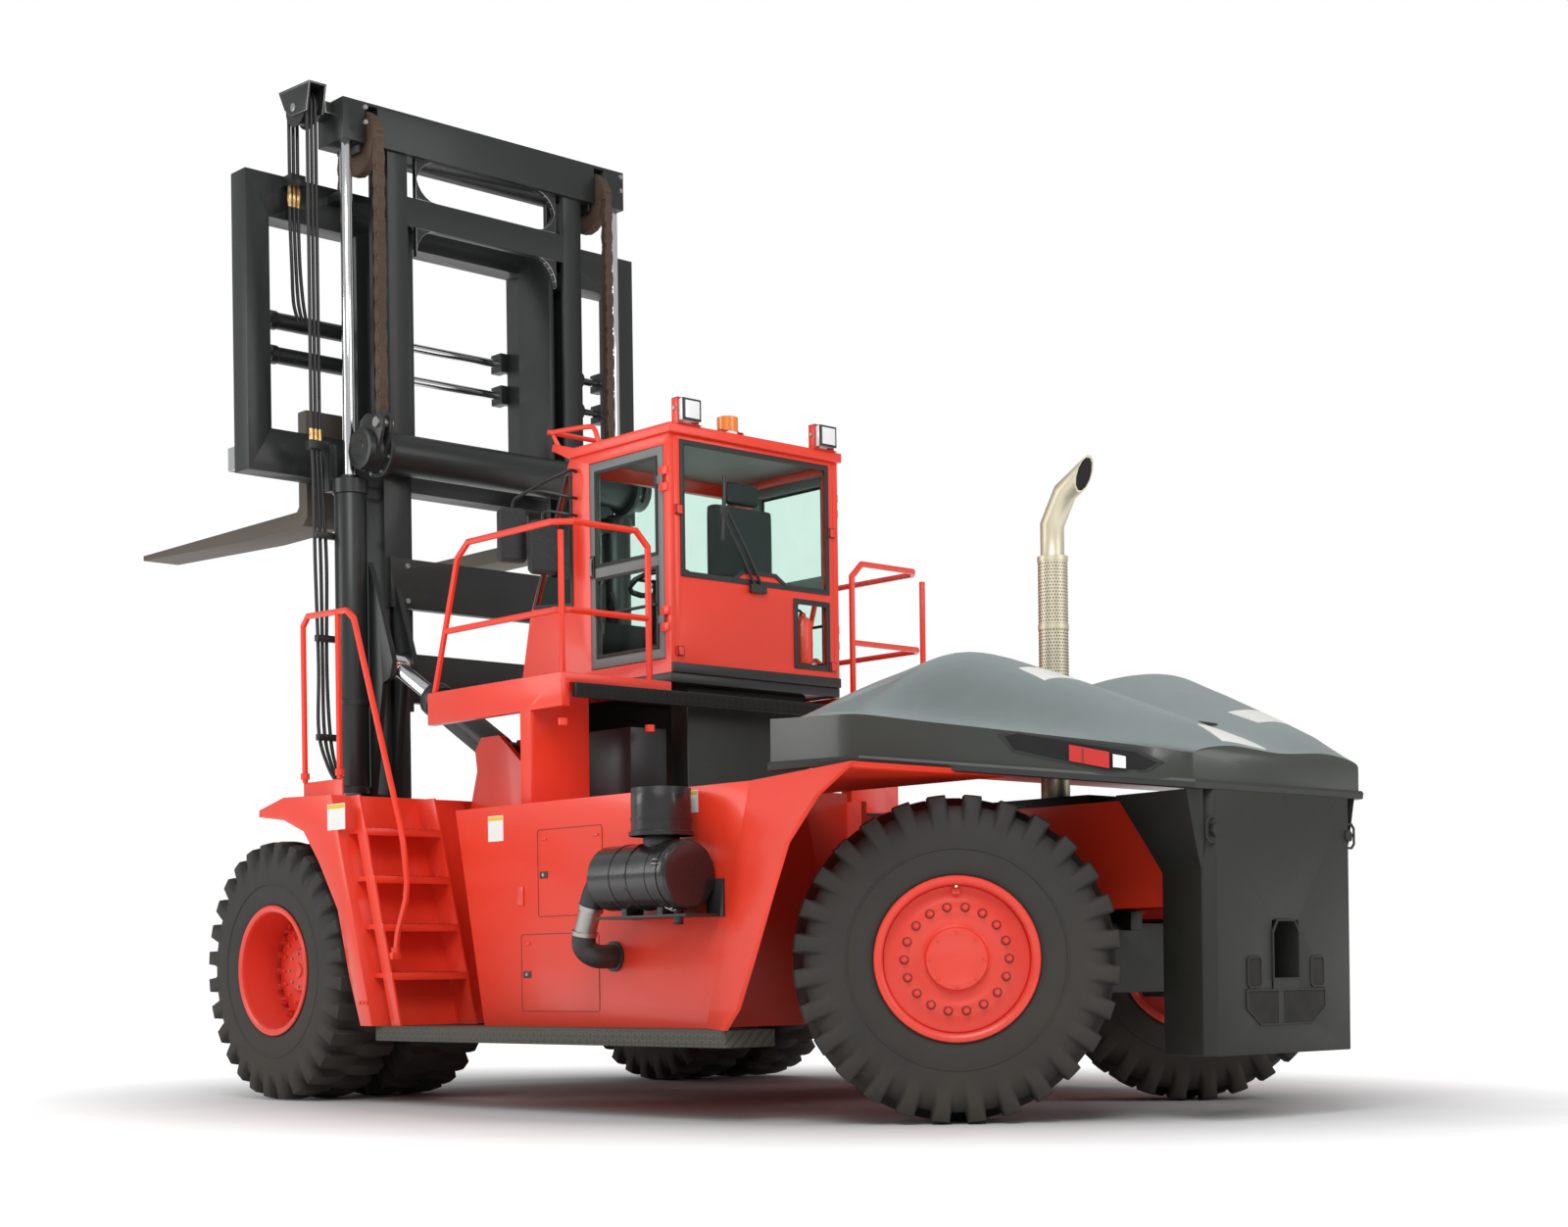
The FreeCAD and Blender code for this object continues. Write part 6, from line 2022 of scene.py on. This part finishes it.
@dataclass
class Rear:
    """The hood, its lip, lamps and labels, and the counterweight's bolts.

    Args:
        front_line: half the hood's section at its front edge, in millimetres.
        peak_line: half its section over the rear axle.
        rear_line: half its section at its rear edge.
        face: where the counterweight's rear face is, along the truck in millimetres.
    """

    front_line: Outline = ((1700, 1840), (1700, 2080), (1500, 2090), (900, 2330), (300, 2290), (0, 2200))
    peak_line: Outline = ((1650, 1830), (1650, 2060), (1450, 2100), (1000, 2455), (350, 2400), (0, 2280))
    rear_line: Outline = ((700, 1660), (700, 1800), (660, 1830), (420, 1860), (200, 1850), (0, 1840))
    face: float = -1361.0

    def hood_ring(self, x: float) -> list[Vector]:
        """The hood's section at one place, its corners softened.

        Args:
            x: the place along the truck in millimetres.

        Returns:
            The points of the closed section.
        """
        front, peak, rear = (620.0, self.front_line), (0.0, self.peak_line), (-1340.0, self.rear_line)
        (start, first), (end, second) = (front, peak) if x > 0 else (peak, rear)
        t = (start - x) / (start - end)
        swell = 42.0 * math.sin(math.pi * t) if x < 0 else 0.0
        half = []
        for i, ((y0, z0), (y1, z1), share) in enumerate(zip(first, second, (0.0, 0.2, 0.45, 1.0, 0.8, 0.35))):
            lift = swell * share
            half.append(Vector((0, y0 + (y1 - y0) * t + lift * (0.3 if 0 < i < 4 else 0.0), z0 + (z1 - z0) * t + lift)))
        fine = smooth_path(half[1:] + [Vector((0, -p.y, p.z)) for p in half[-2:0:-1]], steps=10)
        soft = []
        for i in range(1, len(fine) - 1):
            near = fine[max(0, i - 4):i + 5]
            soft.append(sum(near, Vector()) / len(near))
        line = [half[0], fine[0], *soft, fine[-1], Vector((0, -half[0].y, half[0].z))]
        return [mm(x, p.y, p.z) for p in line]

    def hood(self) -> bpy.types.Object:
        """The engine cover with softened humps, which stands for its solid.

        Returns:
            The cover.
        """
        stops = (620, 612, 590, 540, 470, 390, 300, 220, 150, 90, 40, 0.01, -40, -90, -150, -230, -330, -450, -580,
                 -720, -860, -1000, -1120, -1220, -1290, -1325, -1338)
        raw = [self.hood_ring(x) for x in stops]
        last = len(raw) - 1
        rings = []
        for i, ring in enumerate(raw):
            reach = 0 if i in (0, 1, last - 1, last) else min(3, i - 1, last - 1 - i)
            near = raw[i - reach:i + reach + 1]
            rings.append([Vector((p.x, sum(r[k].y for r in near) / len(near), sum(r[k].z for r in near) / len(near)))
                          for k, p in enumerate(ring)])
        for end in (0, -1):
            middle = sum(rings[end], Vector()) / len(rings[end])
            rings[end] = [middle + (p - middle) * 0.985 for p in rings[end]]
        shape = Shape()
        shape.rings(rings, HOOD)
        made = shape.place("hood_cover", "chassis", 40)
        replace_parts(made, "hood")
        return made

    def build(self) -> None:
        """Makes the pieces at the truck's back."""
        cover = Surface(self.hood())
        shape = Shape()
        edge = [(620, 1700, 1845), (0, 1652, 1836), (-1338, 700, 1668)]
        points = [mm(x, y, z) for x, y, z in edge] + [mm(x, -y, z) for x, y, z in edge[::-1]]
        lip = [(-0.012, -0.034), (0.014, -0.030), (0.018, -0.002), (0.012, 0.012), (-0.012, 0.014)]
        shape.sweep(points, lip, (0, 0, 1), LIP)
        for side in (1, -1):
            self.lamps(shape, side, cover)
            self.crown(shape, side)
            self.bolt(shape, side * 560)
        self.windows(shape)
        self.labels(shape, cover)
        shape.place("rear_fittings", "chassis")

    def labels(self, shape: Shape, cover: Surface) -> None:
        """Blank labels that lie on the hood, and its round cap.

        Args:
            shape: what it is added to.
            cover: the hood's surface.
        """
        down, thick = (0, 0, -1), Vector((0, 0, 0.004))
        for x, y, width, deep in ((-870, -480, 300, 190), (-1225, 240, 360, 150), (-400, 680, 260, 170)):
            rows = []
            for i in range(9):
                line = [cover.meet(mm(x + (i / 8 - 0.5) * deep, y + (k / 10 - 0.5) * width, 3000), down)
                        for k in range(11)]
                rows.append([p + thick for p in line] + [p - thick for p in line[::-1]])
            shape.rings(rows, LABEL)
        cap = cover.meet(mm(-820, -90, 3000), down)
        shape.lathe(cap, (-0.2, 0, 1), [(-0.01, 0.055), (0.003, 0.055), (0.006, 0.048)], LIP, 24)

    def lamps(self, shape: Shape, side: int, cover: Surface) -> None:
        """The long recess in the hood's side, lined with a near-black sheet of painted shade, with its red and clear
        lamps.

        Args:
            shape: what it is added to.
            side: 1 for the left, -1 for the right.
            cover: the hood's surface.
        """
        inward = Vector((0.578, -side * 0.816, 0))
        for outline, off, thick, finish in (
                (((-560, 1930), (-640, 1944), (-1120, 1832), (-1225, 1765), (-1160, 1722), (-1010, 1724),
                  (-620, 1842)), 0.002, 0.003, LIP),
                # A near-black sheet inside the recess: painted shade.
                (((-590, 1920), (-645, 1930), (-1110, 1818), (-1195, 1764), (-1150, 1733), (-1010, 1735),
                  (-625, 1855)), 0.004, 0.003, SOOT_AND_SHADE),
                (((-850, 1866), (-1010, 1822), (-1010, 1742), (-850, 1786)), 0.006, 0.014, LENS_RED),
                (((-1024, 1812), (-1075, 1798), (-1075, 1740), (-1024, 1748)), 0.006, 0.010, LENS_WHITE),
                (((-900, 1846), (-908, 1844), (-908, 1772), (-900, 1774)), 0.020, 0.002, DARK_RED)):
            starts = [mm(x, side * (1650 + x * 0.709), z) - inward for x, z in outline]
            points = [cover.meet(start, inward) - inward * off for start in starts]
            shape.slab(facing(points, side), -inward * thick, finish)

    def crown(self, shape: Shape, side: int) -> None:
        """The counterweight's top, which flares out under the hood.

        Args:
            shape: what it is added to.
            side: 1 for the left, -1 for the right.
        """
        outlines = ((1250, [(-958, 478), (-1296, 598), (-1300, 590), (-960, 470)]),
                    (1420, [(-900, 560), (-1296, 650), (-1330, 612), (-958, 478)]),
                    (1638, [(-800, 640), (-1290, 700), (-1345, 640), (-955, 478)]))
        shape.rings([[mm(x, side * y, z) for x, y in facing(points, -side)] for z, points in outlines], CAST)

    def bolt(self, shape: Shape, y: float) -> None:
        """A six-sided bolt head in a shallow eased frame.

        Args:
            shape: what it is added to.
            y: its place across the truck in millimetres.
        """
        corner = [(-62, -40), (-40, -62), (40, -62), (62, -40), (62, 40), (40, 62), (-40, 62), (-62, 40)]
        x, out = self.face + 9, (-1, 0, 0)
        rim = [(-0.006, -0.004), (0.006, -0.004), (0.006, 0.003), (-0.006, 0.003)]
        shape.sweep([mm(x, y + a, 1440 + b) for a, b in corner], rim, out, CAST, close=True)
        shape.lathe(mm(x, y, 1440), out, [(-0.01, 0.036), (0.012, 0.035), (0.016, 0.030)], CAST, 6)

    def windows(self, shape: Shape) -> None:
        """Near-black sheets of painted shade in the recesses round the towing slot, and their eased rims.

        Args:
            shape: what it is added to.
        """
        x = self.face
        smile = [(-330, 650), (-330, 560), (-215, 478), (215, 478), (330, 560), (330, 650)]
        square = [(-55, -70), (-40, -85), (40, -85), (55, -70), (55, 50), (40, 65), (-40, 65), (-55, 50)]
        arch = [(-110, 705), (110, 705), (110, 940), (70, 1000), (-70, 1000), (-110, 940)]
        holes = [smile] + [[(y + a, 750 + b) for a, b in square] for y in (-265, 265)]
        # The near-black sheets are painted shade inside the recesses.
        for outline in holes:
            shape.slab([mm(x, y, z) for y, z in outline], (-0.002, 0, 0), SOOT_AND_SHADE)
        rim = [(-0.006, -0.002), (0.006, -0.002), (0.004, 0.005), (-0.004, 0.005)]
        for outline in holes + [arch]:
            shape.sweep([mm(x - 1, y, z) for y, z in outline], rim, (-1, 0, 0), CAST, close=True)
        for back, push, y0, y1, z0, z1 in ((0, 0.003, -112, 112, 652, 700), (2, 0.002, 30, 75, 482, 646)):
            corners = ((y0, z0), (y1, z0), (y1, z1), (y0, z1))
            shape.slab([mm(x - back, y, z) for y, z in corners], (-push, 0, 0), CAST)


GROUPS: Sequence[tuple[Finish, float, str]] = (
    (RED, 0.005, "chassis_frame left_side_body right_side_body front_fenders ladders cab_left_side cab_right_side "
                 "cab_rear_wall cab_front_panel cab_roof platforms"),
    (MAST, 0.004, "outer_mast lift_cylinders inner_mast carriage left_tilt_barrel right_tilt_barrel"),
    (CAST, 0.008, "rear_axle front_axle counterweight engine_block left_knuckle right_knuckle cab_support"),
    (BLACK, 0.003, "cab_base steering_console air_cleaner cab_floor valve_block"),
    (BOARD, 0.004, "running_boards"), (GREY, 0.004, "left_door right_door"), (RED, 0.001, "handrails"),
    (STAINLESS, 0.002, "exhaust_stack"), (CHROME, 0.002, "fork_shaft left_tilt_rod right_tilt_rod"),
    (CHROME, 0.001, "lift_rods"), (FORK, 0.006, "left_fork right_fork"), (CHAIN, 0.003, "chain_sheaves"),
    (LENS_WHITE, 0.003, "cab_lamps"),
)
ZONES: dict[str, Sequence[tuple[Point, Point, Finish]]] = {
    "cab_lamps": [((2700, -100, 4172), (3000, 100, 4300), LENS_AMBER), ((2700, -100, 4100), (3000, 100, 4172), RED),
                  ((2500, -700, 4090), (2700, 700, 4300), PLASTIC)],
    "chassis_frame": [((4500, -990, 400), (5400, 990, 1800), MAST)],
    "left_tilt_barrel": [((4500, 800, 2500), (4900, 1120, 2900), BLACK)],
    "right_tilt_barrel": [((4500, -1120, 2500), (4900, -800, 2900), BLACK)],
}


def dress_nodes(done: Sequence[str]) -> None:
    """Finishes every carried-over solid that nothing else replaces, with eased edges on all but the glass.

    Args:
        done: the nodes that other pieces stand for.
    """
    finishes = {node: (finish, width) for finish, width, nodes in GROUPS for node in nodes.split()}
    for node, obj in frame["nodes"].items():
        if node in done:
            continue
        if "glass" in node:
            obj.data.materials.clear()
            obj.data.materials.append(GLASS.material())
            continue
        EasedNode(node, *finishes[node], ZONES.get(node, ())).build()


def main() -> None:
    """Builds the studio, the truck's fittings and its finishes."""
    logging.basicConfig(level=logging.INFO, format="%(name)s: %(message)s")
    weathered_group()
    for group in (Studio(), Wheels(), Mast(), Cab(), Body(), AirCleaner(), Exhaust(), Rear()):
        group.build()
    dress_nodes([name for name, obj in frame["nodes"].items() if obj.hide_render])
    bpy.context.scene.view_settings.view_transform = "Standard"


if __name__ == "__main__":
    main()
